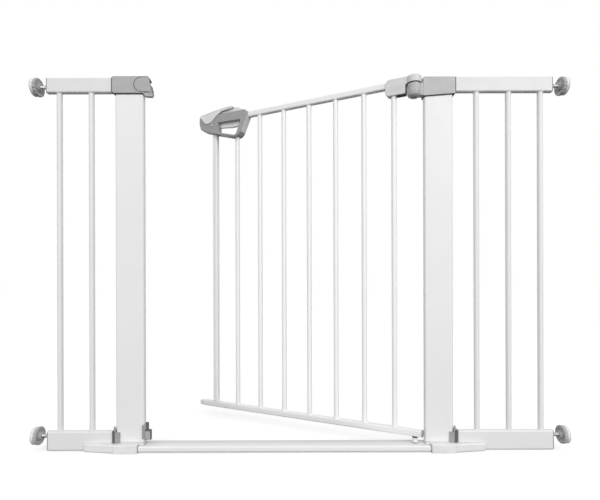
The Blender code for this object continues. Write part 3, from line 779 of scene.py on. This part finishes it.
def bracket():
    """The right cap with the barrel of the top hinge."""
    hinge_x = LEAF.translation.x
    half = span("latch_striker")[1][1]
    outline = fillet(face_outlines("hinge_bracket", Y, -1, -half)[0], CAP_ROUND)
    body = slab(Y, outline, -half, half, CAP_RIM, CAP_RIM)
    foot, top = span("hinge_bracket")[0][2], HINGE_LEVEL
    round_body = barrel(foot, top, hinge_x)
    web = slab(X, rounded((-0.0075, 0.0075), (0.719, top), 0.0015), hinge_x, 0.251)
    tongue = plug(span("right_top_rail"), 0.314, 0.329)
    socket_outline, socket_top = post_socket("right")
    socket = slab(Z, socket_outline, UNDER_CAPS, socket_top)
    bore = slab(Z, circle(PIN_BORE, 32, (hinge_x, 0.0)), UNDER_CAPS, 0.76)
    flute_ring = 0.0146
    flutes = []
    for degrees in (205, 232, 300, 128, 155):
        turn = math.radians(degrees)
        spot = (hinge_x + flute_ring * math.cos(turn), flute_ring * math.sin(turn))
        flutes.append(slab(Z, circle(0.0016, 16, spot), foot + 0.009, top - 0.002))
    piece(cut(united(body, web, round_body, tongue), socket, bore, *flutes), "hinge_bracket", GREYS["clip"])
    washer = lathe([(0.0046, top - 0.0013), (0.0139, top - 0.0013), (0.0143, top - 0.001),
                    (0.0143, top - 0.0002), (0.014, top), (0.0046, top)], Z, (hinge_x, 0, 0))
    extra(washer, "hinge_bracket_washer", "hinge_bracket", BLACK_RUBBER)
    below = [(0.2505, 0.7154), (0.3138, 0.7202), (0.3138, 0.7224), (0.2505, 0.7176)]
    gasket(below, half, socket_outline, "hinge_bracket")
    rail_ring("right_top_rail", 0.3152, 1, half, "hinge_bracket")


def keeper():
    """The lower catch on the left post: grey plate, shelf and lip, and a dark stop with its sprung tab."""
    plates = [edged_box(ranges, edge) for ranges, edge in (
        (((-0.315, -0.3108), (-0.0098, 0.008), (0.0257, 0.0537)), 0.0007),
        (((-0.3195, -0.312), (-0.0098, -0.0071), (0.0257, 0.0537)), 0.0007),
        (((-0.312, -0.3055), (-0.009, 0.0079), (0.0251, 0.027)), 0.0005),
        (((-0.312, -0.3055), (0.0055, 0.0078), (0.0255, 0.028)), 0.0006))]
    piece(united(*plates), "lower_keeper", GREYS["foot"])
    catch = [edged_box(ranges, edge) for ranges, edge in (
        (((-0.3125, -0.2996), (-0.0122, -0.0072), (0.025, 0.046)), 0.0014),
        (((-0.3118, -0.3056), (-0.0097, -0.0072), (0.04, 0.06)), 0.0009))]
    lines = [block((-0.302, -0.013, z), (-0.298, -0.0118, z + 0.0009))
             for z in (0.03, 0.0335, 0.037, 0.0405)]
    extra(cut(united(*catch), *lines), "lower_keeper_catch", "lower_keeper", GREYS["catch"])
    face = edged_box(((-0.3118, -0.3018), (-0.0125, -0.011), (0.0262, 0.0425)), 0.0006)
    extra(face, "lower_keeper_face", "lower_keeper", GREYS["striker"])


def outer_clip(side, way):
    """The grey clip between a post's foot and the extension, with its dark lock on the rail's end."""
    node = side + "_outer_clip"
    front_y = span(node)[0][1]
    back_y = span(node)[1][1]
    rail_low, rail_high = span(side + "_bottom_rail")
    post_low, post_high = span(side + "_post")
    rail_x = rail_low[0] if way > 0 else rail_high[0]
    post_x = post_high[0] if way > 0 else post_low[0]
    lock = edged_box(((rail_x - way * GAP, post_x + way * GAP), (front_y, back_y), (0.018, 0.042)), 0.0008)
    front = edged_box(((post_x + way * 0.001, post_x - way * 0.009), (front_y, post_low[1] - GAP),
                       (0.018, 0.0388)), 0.0008)
    tab = edged_box(((post_x + way * 0.003, post_x - way * 0.001), (front_y, front_y + 0.0023),
                     (0.038, 0.051)), 0.0007)
    near, far = sorted((rail_x - way * 0.001, rail_x + way * 0.013))
    core = block((near, rail_low[1] + PLUG_INSET, 0.02),
                 (far, rail_high[1] - PLUG_INSET, rail_high[2] - PLUG_INSET))
    piece(united(front, tab, core), node, GREYS["foot"])
    extra(lock, node + "_lock", node, GREYS["catch"])


def shoe(side, way):
    """A plastic foot: block under the post, tongue under the threshold, tapered sleeve round the rail."""
    node = side + "_shoe"
    low, high = span(node)
    bar_low, bar_high = span("threshold_bar")
    rail_low, rail_high = roomy(span(side + "_bottom_rail"))
    outer_x = {-1: -0.3746, 1: 0.312}[way]
    bar_end = bar_low[0] if way < 0 else bar_high[0]
    inner_x = bar_end + way * (GAP + SEAL)
    sleeve_x, tongue_x = (low[0], high[0]) if way < 0 else (high[0], low[0])
    half, top = high[1], high[2]
    footprint = rounded(sorted((outer_x, inner_x)), (-half, half), 0.004, CORNER_STEPS)
    body = slab(Z, footprint, 0.0, top, 0.0006, 0.0016)
    wide = rounded((-half + 0.002, half - 0.002), (SOLE, top - 0.0004), 0.003)
    narrow = rounded((-0.011, 0.011), (SOLE, top - 0.0009), 0.0026)
    sleeve = loft(X, [(wide, outer_x - way * 0.004), (wide, outer_x), (narrow, sleeve_x - way * 0.0012),
                      (inset(narrow, 0.0007), sleeve_x - way * 0.0002), (inset(narrow, 0.0012), sleeve_x)])
    tongue = edged_box(((outer_x * 0.5 + inner_x * 0.5, tongue_x), (-0.0105, 0.0105),
                        (bar_high[2] + GAP, top - 0.0003)), 0.0008)
    near, far = rail_low[0], sleeve_x + 0.01
    if way < 0:
        near, far = min(rail_low[0], sleeve_x - 0.01), rail_high[0]
    channel = block((near, rail_low[1], rail_low[2]), (far, rail_high[1], 0.05))
    seam_x = outer_x - way * 0.0003
    seam = block((seam_x - 0.0003, -0.03, 0.0035), (seam_x + 0.0003, -half + 0.0006, 0.014))
    piece(cut(united(body, sleeve, tongue), channel, seam), node, WHITE)
    # A black strip in the gap between the shoe and the threshold: painted shade.
    seal = edged_box(((bar_end + way * GAP / 2, inner_x), (bar_low[1] + 0.0004, bar_high[1] - 0.0004),
                      (0.0012, bar_high[2] - 0.0002)), 0.0001)
    extra(seal, node + "_seal", node, BLACK_RUBBER)


def lower_hinge():
    """Pin and bush under the leaf, with the dark washer that the leaf turns on."""
    centre = (LEAF.translation.x, 0, 0)
    low, high = span("lower_hinge_pin")
    z, top = low[2], high[2]
    turned([(0, z), (0.0046, z), (0.005, z + 0.0004), (0.005, z + 0.0012), (0.0047, z + 0.0015),
            (0.003, z + 0.0016), (0.003, top - 0.0012), (0.0027, top - 0.0004), (0.002, top), (0, top)],
           "lower_hinge_pin", ZINC, Z, centre)
    low, high = span("lower_bush")
    z, top = low[2], high[2] - 0.0016
    turned([(0.0033, z), (0.0052, z), (0.0055, z + 0.0003), (0.0055, z + 0.004), (0.0052, z + 0.0044),
            (0.0055, z + 0.0048), (0.0055, top - 0.0003), (0.0052, top), (0.0033, top)],
           "lower_bush", WHITE, Z, centre)
    z, top = top + 0.0002, high[2]
    washer = lathe([(0.0034, z), (0.0054, z), (0.0057, z + 0.0004), (0.0057, top - 0.0004), (0.0054, top),
                    (0.0034, top)], Z, centre, 1, SMALL_SIDES)
    extra(washer, "lower_bush_washer", "lower_bush", BLACK_RUBBER)


# ---- wall spindles

def rail_insert(side, level, way):
    """The white end plug of a rail, with a countersunk hole for the spindle."""
    node = f"{side}_{level}_insert"
    low, high = span(node)
    end = high[0] if way > 0 else low[0]
    axis = (0.0, middle(f"{side}_{level}_spindle_rod")[2])
    outline = rounded((low[1], high[1]), (low[2], high[2]), 0.0032, CORNER_STEPS)
    flange = slab(X, outline, end, end - way * 0.0011, 0.0009, 0.0)
    body = edged_box(((end - way * 0.001, end - way * 0.012), (low[1] + PLUG_INSET, high[1] - PLUG_INSET),
                      (low[2] + PLUG_INSET, high[2] - PLUG_INSET)), 0.0008)
    hole = circle(PIN_BORE, SMALL_SIDES, axis)
    bore = slab(X, hole, end - way * 0.03, end + way * 0.01)
    sink = loft(X, [(circle(0.0056, SMALL_SIDES, axis), end + way * 0.0002), (hole, end - way * 0.0012)])
    piece(cut(united(flange, body), bore, sink), node, WHITE)
    ring = tube(X, outline, inset(outline, WALL), end - way * 0.0018, end - way * 0.0011, 0.0001)
    extra(ring, node + "_ring", node, BLACK_RUBBER)


def threaded_rod(node):
    """A rod with a real helical thread and a chamfered end."""
    low, high = span(node)
    z, length = (low[2] + high[2]) / 2, high[0] - low[0]
    crest, chamfer = (high[2] - low[2]) / 2, 0.001
    sides, per_turn = 24, 6
    rows = round(length / THREAD_PITCH * per_turn)
    sections = []
    for row in range(rows + 1):
        along = length * row / rows
        to_end = min(along, length - along)
        outline = []
        for k in range(sides):
            share = (along / THREAD_PITCH - k / sides) % 1.0
            depth = THREAD_DEPTH * (1 - abs(2 * share - 1))
            radius = min(crest - depth, crest - chamfer + to_end)
            angle = math.tau * k / sides
            outline.append((radius * math.cos(angle), z + radius * math.sin(angle)))
        sections.append((outline, low[0] + along))
    piece(loft(X, sections), node, ZINC_ROD)


def hand_wheel(node, way):
    """A thumb wheel: scalloped rim, dished face towards the rail and a collar round the rod."""
    low, high = span(node)
    z, rim = (low[2] + high[2]) / 2, (high[2] - low[2]) / 2
    collar_end = low[0] if way > 0 else high[0]
    hub, dish_edge, lobes = 0.004, 0.015, 14
    profile = [(0.0, 0.0085), (PIN_BORE, 0.0085), (PIN_BORE, 0.0002), (0.005, 0.0), (0.0072, 0.0002),
               (0.0078, 0.001), (0.008, hub + 0.001), (0.009, hub + 0.0024), (0.0102, hub + 0.0023),
               (0.0132, hub + 0.0013), (0.0142, hub + 0.0007), (dish_edge, hub + 0.0001), (rim - 0.0012, hub),
               (rim - 0.0004, hub + 0.0004), (rim, hub + 0.0012), (rim, hub + 0.0048),
               (rim - 0.0004, hub + 0.0056), (rim - 0.0012, hub + 0.006), (0.0, hub + 0.006)]

    def ripple(angle, radius):
        share = max(0.0, (radius - dish_edge) / (rim - dish_edge))
        return -0.0013 * share * max(0.0, math.cos(lobes * angle)) ** 3

    piece(lathe(profile, X, (collar_end, 0.0, z), way, 12 * lobes, ripple), node, GREYS["wheel"])


def wall_pad(node, way):
    """The white pad behind the wheel, with a ribbed rubber face against the wall."""
    low, high = span(node)
    z, rim = (low[2] + high[2]) / 2, (high[2] - low[2]) / 2
    wall, front = (high[0], low[0]) if way > 0 else (low[0], high[0])
    depth, skin, groove = abs(wall - front), 0.0016, 0.0006
    seat = depth - skin
    shell = [(0.0, 0.0), (rim - 0.0027, 0.0), (rim - 0.0021, 0.0003), (rim - 0.0015, 0.001),
             (rim - 0.0008, 0.0016), (rim - 0.0001, seat - 0.0008), (rim - 0.0003, seat - 0.0002),
             (rim - 0.0012, seat), (0.0, seat)]
    piece(lathe(shell, X, (front, 0.0, z), way, 96), node, WHITE)
    face = [(0.0, seat), (rim - 0.0016, seat), (rim - 0.0004, seat + 0.0003), (rim, depth - 0.0008),
            (rim - 0.0006, depth), (rim - 0.0027, depth)]
    for ring in (0.013, 0.0103, 0.0076, 0.0049):
        face += [(ring + 0.0006, depth), (ring + 0.0004, depth - groove), (ring - 0.0004, depth - groove),
                 (ring - 0.0006, depth)]
    face.append((0.0, depth))
    extra(lathe(face, X, (front, 0.0, z), way, 96), node + "_rubber", node, PALE_RUBBER)


def spindles():
    for side, way in SIDES:
        for level in ("top", "bottom"):
            name = f"{side}_{level}_spindle"
            rail_insert(side, level, way)
            threaded_rod(name + "_rod")
            hand_wheel(name + "_wheel", way)
            wall_pad(name + "_pad", way)


# ---- leaf's ends and hinge

def rail_end_cap():
    """The grey cap on the hinge end of the leaf's bottom rail."""
    low, high = span("rail_end_cap")
    rail = span("leaf_bottom_rail")
    outline = rounded((rail[0][1], rail[1][1]), (rail[0][2], rail[1][2]), 0.0042, CORNER_STEPS)
    cap = slab(X, outline, high[0], rail[1][0] + GAP, 0.0014, 0.0)
    core = plug(rail, low[0], high[0] - 0.001)
    piece(united(cap, core), "rail_end_cap", GREYS["foot"])


def latch_pin():
    """The catch pin on the latch end of the bottom rail: a slotted housing with a dark tip."""
    low, high = span("lower_latch_pin")
    rail = span("leaf_bottom_rail")
    z, half = (rail[0][2] + rail[1][2]) / 2, 0.00575
    flange = rail[0][0] - GAP
    outline = rounded((low[1], high[1]), (z - half, z + half), 0.003, CORNER_STEPS)
    housing = slab(X, outline, flange - 0.0105, flange, 0.0016, 0.0004)
    core = plug(rail, flange - 0.001, high[0])
    slot = slab(Y, rounded((flange - 0.0085, flange - 0.0035), (z - 0.0012, z + 0.0012), 0.0011),
                low[1] - 0.001, low[1] + 0.0007)
    piece(cut(united(housing, core), slot), "lower_latch_pin", GREYS["light"])
    dome = [(0.0, 0.0), (0.0028, 0.0), (0.0028, 0.0026), (0.0026, 0.0033), (0.002, 0.0038), (0.0, 0.0039)]
    tip = lathe(dome, X, (flange - 0.0098, 0.0, z), -1, SMALL_SIDES)
    extra(tip, "latch_pin_tip", "lower_latch_pin", GREYS["dark"])


def clip_outline(half):
    """The clip's side outline up to the knuckle, and where it ends; the knuckle is turned separately."""
    top = span("leaf_hinge_clip")[1][2]
    flat = [point for point in face_outlines("leaf_hinge_clip", Y, -1, -half)[0] if point[0] < -0.0135]
    first = flat.index(max(flat, key=lambda point: point[1]))
    outline = flat[first:] + flat[:first] + [(-0.0035, KNUCKLE_FOOT), (-0.0035, top)]
    return fillet(outline, 0.003), max(x for x, _ in flat)


def leaf_hinge_clip():
    """The clip on the leaf's top rail with its knuckle, and black strips at its end and along its underside:
    painted shade at its edges.
    """
    low, high = span("leaf_hinge_clip")
    rail_low, rail_high = roomy(span("leaf_top_rail"))
    seat, top, half = KNUCKLE_FOOT, high[2], span("latch_striker")[1][1]
    outline, end_x = clip_outline(half)
    body = slab(Y, outline, -half, half, 0.0016, 0.0016)
    knuckle = lathe([(0.0, seat), (0.0136, seat), (0.0146, seat + 0.0004), (0.015, seat + 0.0013),
                     (0.015, top - 0.0034), (0.0146, top - 0.0019), (0.0136, top - 0.0009),
                     (0.0118, top - 0.0002), (0.01, top), (0.0, top)], Z, (0, 0, 0))
    rail = block((-0.07, rail_low[1], rail_low[2]), rail_high)
    bar_radius = span("leaf_bar_1")[1][1] + GAP
    bar = slab(Z, circle(bar_radius, SMALL_SIDES, (middle("leaf_bar_1")[0], 0.0)), UNDER_CAPS, 0.7445)
    bore = slab(Z, circle(PIN_BORE, SMALL_SIDES), 0.74, 0.756)
    window = slab(Y, rounded((-0.05, -0.044), (0.73, 0.733), 0.0012), half - 0.0009, 0.02)
    dimple = lathe([(0.0, top - 0.0007), (0.004, top - 0.0007), (0.0044, top + 0.001), (0.0, top + 0.001)],
                   Z, (0, 0, 0), 1, SMALL_SIDES)
    piece(cut(united(body, knuckle), rail, bar, bore, window, dimple), "leaf_hinge_clip", GREYS["leaf_clip"])
    # Painted shade: black strips at the clip's end and under it.
    liner = united(edged_box(((end_x - 0.001, end_x + 0.0004), (-half + 0.0011, half - 0.0011),
                              (low[2] + 0.0012, seat - 0.0006)), 0.0002),
                   edged_box(((-0.035, end_x - 0.001), (-half + 0.0014, half - 0.0014),
                              (low[2] - 0.0004, low[2] + 0.0008)), 0.0002))
    extra(liner, "leaf_hinge_clip_liner", "leaf_hinge_clip", BLACK_RUBBER)


def top_hinge_pin():
    low, high = span("top_hinge_pin")
    z, end = low[2], high[2]
    turned([(0, z), (0.0026, z), (0.0036, z + 0.0008), (0.004, z + 0.002), (0.004, end - 0.0006),
            (0.0034, end), (0, end)], "top_hinge_pin", ZINC, Z, (LEAF.translation.x, 0, 0))


# ---- handle

def side_middle(node):
    """Centre of a leaf node, seen from the side."""
    x, _, z = middle(node)
    return x, z


def shell_cutters(node, side):
    """What is cut from one half of the handle; side is -1 for the room side."""
    rail_low, rail_high = roomy(span("leaf_top_rail"))
    upright_low, upright_high = roomy(span("latch_upright"))
    bar_high = span("leaf_bar_7")[1]
    bar_at = (middle("leaf_bar_7")[0], 0.0)
    pivot_at, screw_at = side_middle("trigger_pivot_pin"), side_middle("shell_screw")
    low, high = span(node)
    half = max(-low[1], high[1])
    tools = [
        block((upright_low[0], upright_low[1], UNDER_HANDLE), upright_high),
        block(rail_low, (-0.37, rail_high[1], rail_high[2])),
        slab(Z, circle(bar_high[1] + GAP, SMALL_SIDES, bar_at), UNDER_HANDLE, bar_high[2] + GAP),
        block((-0.545, -0.0045, 0.7397), (-0.487, 0.0045, 0.7505)),      # channel of the bolt
        block((-0.5015, -0.0045, 0.7245), (-0.4165, 0.0045, 0.75)),     # channel of the trigger
        block((-0.5135, -0.0035, 0.749), (-0.4935, 0.0035, 0.77)),       # slot of the bolt's lug
        slab(Y, circle(PIVOT_BORE, 24, pivot_at), -0.02, 0.007),
        slab(Y, circle(SCREW_BORE, 24, screw_at), -0.0085, 0.02),
        slab(Y, circle(0.004, 32, screw_at), 0.0055, 0.02),              # the screw head's sink
    ]
    window = fillet(face_outlines(node, Y, side)[1], 0.0016)
    tools.append(loft(Y, [(inset(window, -WINDOW_RIM - 0.0006), side * (half + 0.0006)),
                          (inset(window, -WINDOW_RIM), side * half),
                          (inset(window, -WINDOW_RIM * 0.35), side * (half - WINDOW_RIM * 0.45)),
                          (window, side * (half - WINDOW_RIM)), (window, -side * 0.003)]))
    return tools


def handle_shells():
    for node, side in zip(HANDLE_NODES, (-1, 1)):
        outline = fillet(face_outlines(node, Y, side)[0], 0.004, 8)
        low, high = span(node)
        body = slab(Y, outline, low[1] if side < 0 else high[1], side * GAP / 2, 0.0016, 0.0)
        piece(cut(body, *shell_cutters(node, side)), node, GREYS["handle"])


def arm_highlight_band():
    """A painted highlight: a light strip along the outer side of the hinge-side arm, where its lit chamfer
    shows.
    """
    front, back = (span(node) for node in HANDLE_NODES)
    strip = slab(Y, ribbon([(-0.39385, 0.744), (-0.4106, 0.7078)], 0.0011),
                 front[0][1] + 0.0022, back[1][1] - 0.0012, 0.0003, 0.0003)
    extra(strip, "handle_arm_highlight", "handle_front_shell", GREYS["arm_highlight"])


def top_cover():
    node = "handle_top_cover"
    piece(through(node, fillet(face_outlines(node, Y, -1)[0], 0.001), 0.0008), node, GREYS["light"])


def thumb_slider():
    """A saddle over the handle's top with a long tongue down each side and a dished grip."""
    low, high = span("thumb_slider")
    saddle = fillet(face_outlines("thumb_slider", Y, -1)[0], 0.0022, 8)
    body = through("thumb_slider", saddle, 0.0011)
    under = [(-0.545, 0.73), (-0.4, 0.73), (-0.4, 0.7701), (-0.4516, 0.7701), (-0.4905, 0.7662),
             (-0.52, 0.7615), (-0.545, 0.7593)]
    front, back = (span(node) for node in HANDLE_NODES)
    hollow = slab(Y, under, front[0][1] - GAP, back[1][1] + GAP)
    dish = inset(saddle, 0.0019)
    grips = [slab(Y, dish, face + side * 0.001, face - side * 0.00045)
             for face, side in ((low[1], -1), (high[1], 1))]
    ribs = [block((x, low[1] + 0.0045, 0.7718), (x + 0.001, high[1] - 0.0045, 0.774))
            for x in (-0.448, -0.444, -0.44, -0.436)]
    piece(cut(body, hollow, *grips, *ribs), "thumb_slider", GREYS["light"])


def latch_bolt():
    """The bolt, with the lug by which the thumb slider moves it."""
    low, high = span("latch_bolt")
    shank = edged_box(((low[0], -0.4985), (low[1], high[1]), (low[2], 0.7498)), 0.0009)
    lug = block((-0.5125, -0.003, 0.748), (-0.5045, 0.003, high[2]))
    piece(united(shank, lug), "latch_bolt", GREYS["dark"])


def trigger():
    """The squeeze trigger: the CAD lever's arm with a round boss, bored for the pivot pin."""
    pivot_at = side_middle("trigger_pivot_pin")
    boss_radius = pivot_at[0] - span("squeeze_trigger")[0][0]
    lever = [point for point in face_outlines("squeeze_trigger", Y, -1)[0]
             if math.dist(point, pivot_at) > boss_radius + 0.0002]
    top = max(range(len(lever)), key=lambda k: (round(lever[k][1], 4), -lever[k][0]))
    lever[top + 1:top + 1] = [(pivot_at[0], lever[top][1]), (pivot_at[0], pivot_at[1] - 0.0042)]
    arm = through("squeeze_trigger", fillet(lever, 0.0008), 0.0005)
    boss = through("squeeze_trigger", circle(boss_radius, SMALL_SIDES, pivot_at), 0.0005)
    hole = slab(Y, circle(PIVOT_BORE, 24, pivot_at), -0.01, 0.01)
    # The trigger's very light grey is painted light on its shaded front.
    piece(cut(united(arm, boss), hole), "squeeze_trigger", GREYS["trigger"])


def fastenings():
    """Rivet head and screw of the handle; the spring stays the CAD coil with a better finish."""
    low, high = span("trigger_pivot_pin")
    x, z = side_middle("trigger_pivot_pin")
    length = high[1] - low[1]
    turned([(0, 0.0002), (0.001, 0.0002), (0.0014, 0), (0.0022, 0.0002), (0.0027, 0.0006), (0.0028, 0.001),
            (0.0018, 0.0011), (0.0018, length - 0.0004), (0.0014, length), (0, length)],
           "trigger_pivot_pin", ZINC, Y, (x, low[1], z))
    low, high = span("shell_screw")
    x, z = side_middle("shell_screw")
    head, length = high[1], high[1] - low[1]
    screw = lathe([(0, 0.0), (0.0026, 0.0001), (0.0032, 0.0005), (0.0034, 0.0011), (0.0033, 0.0018),
                   (0.0015, 0.0025), (0.0015, length - 0.001), (0.001, length), (0, length)],
                  Y, (x, head, z), -1, 48)
    cross = [slab(Y, rectangle((x - a, x + a), (z - b, z + b)), head + 0.001, head - 0.0011)
             for a, b in ((0.002, 0.00042), (0.00042, 0.002))]
    piece(cut(screw, *cross), "shell_screw", ZINC)
    for holder in frame["nodes"]["trigger_spring"].material_slots:
        holder.material = ZINC


# ---- stage

def stage_piece(name, bm, material):
    """Part of the studio that only the camera sees, so that the world and the lamps light the gate."""
    mesh = bpy.data.meshes.new(name)
    bm.to_mesh(mesh)
    bm.free()
    item = new_object(name, mesh)
    mesh.materials.append(material)
    item.visible_diffuse = False
    item.visible_glossy = False
    item.visible_shadow = False
    return item


def floor():
    """A large pale floor that keeps the faint, soft shadows of a studio table."""
    bm = bmesh.new()
    bmesh.ops.create_circle(bm, cap_ends=True, radius=FLOOR_RADIUS, segments=96)
    material, _, _ = node_material("pale_floor", FLOOR_COLOUR, 0.6, Specular_IOR_Level=0.0,
                                   Emission_Color=(1.0, 1.0, 1.0, 1.0), Emission_Strength=FLOOR_GLOW)
    stage_piece("floor", bm, material).location.z = cad_box[0].z - 0.0002


def backdrop():
    """A plain white room round everything, seen by the camera only."""
    bm = bmesh.new()
    bmesh.ops.create_icosphere(bm, subdivisions=4, radius=ROOM_RADIUS)
    material = bpy.data.materials.new("white_room")
    material.use_nodes = True
    tree = material.node_tree
    tree.nodes.clear()
    glow = tree.nodes.new("ShaderNodeEmission")
    glow.inputs["Strength"].default_value = 1.0
    out = tree.nodes.new("ShaderNodeOutputMaterial")
    tree.links.new(glow.outputs["Emission"], out.inputs["Surface"])
    stage_piece("backdrop", bm, material)


def world():
    """White in front, softer behind and above, dim to the sides and below, as with black flags."""
    sky = bpy.data.worlds.new("studio")
    sky.use_nodes = True
    bpy.context.scene.world = sky
    tree = sky.node_tree
    background = tree.nodes["Background"]
    towards = parts(tree, "Generated")
    across = tree.nodes.new("ShaderNodeMath")
    across.operation = "ABSOLUTE"
    tree.links.new(towards["X"], across.inputs[0])
    light = ramp(tree, across.outputs["Value"], 1.0, SIDE_LIGHT, 0.62, 0.97)
    light = product(tree, light, ramp(tree, towards["Z"], UNDER_LIGHT, 1.0, -0.55, -0.02))
    light = product(tree, light, ramp(tree, towards["Z"], 1.0, OVER_LIGHT, 0.25, 0.85))
    light = product(tree, light, ramp(tree, towards["Y"], 1.0, BACK_LIGHT, -0.05, 0.45))
    tree.links.new(light, background.inputs["Color"])
    background.inputs["Strength"].default_value = WORLD_LIGHT


def lamp(name, place, size, power):
    data = bpy.data.lights.new(name, "AREA")
    data.shape = "RECTANGLE"
    data.size, data.size_y = size
    data.energy = power
    item = new_object(name, data)
    item.location = place
    item.rotation_euler = (Vector(LAMP_AIM) - Vector(place)).to_track_quat("-Z", "Y").to_euler()
    item.visible_camera = False


def camera():
    """Level and nearly square on, as the photograph, with its slight roll."""
    data = bpy.data.cameras.new("camera")
    data.lens = LENS
    data.sensor_width = SENSOR_WIDTH
    data.shift_y = LENS_SHIFT
    data.clip_start = 0.01
    item = new_object("camera", data)
    item.location = CAMERA_PLACE
    level = Euler((math.radians(90), 0.0, 0.0)).to_matrix().to_4x4()
    roll = Matrix.Rotation(CAMERA_ROLL, 4, "Z")
    item.rotation_euler = (level @ roll).to_euler()
    bpy.context.scene.camera = item


# ---- build

tubes()
striker()
bracket()
keeper()
for clip_side, clip_way in SIDES:
    outer_clip(clip_side, clip_way)
for shoe_side, shoe_way in SIDES:
    shoe(shoe_side, shoe_way)
lower_hinge()
spindles()
rail_end_cap()
latch_pin()
leaf_hinge_clip()
top_hinge_pin()
handle_shells()
arm_highlight_band()
top_cover()
thumb_slider()
latch_bolt()
trigger()
fastenings()

floor()
backdrop()
world()
lamp("key", (1.5, -1.7, 1.5), (1.4, 1.2), 15.0)
lamp("fill", (-1.4, -1.8, 1.9), (1.2, 1.2), 6.5)
camera()
bpy.context.scene.view_settings.view_transform = "Standard"
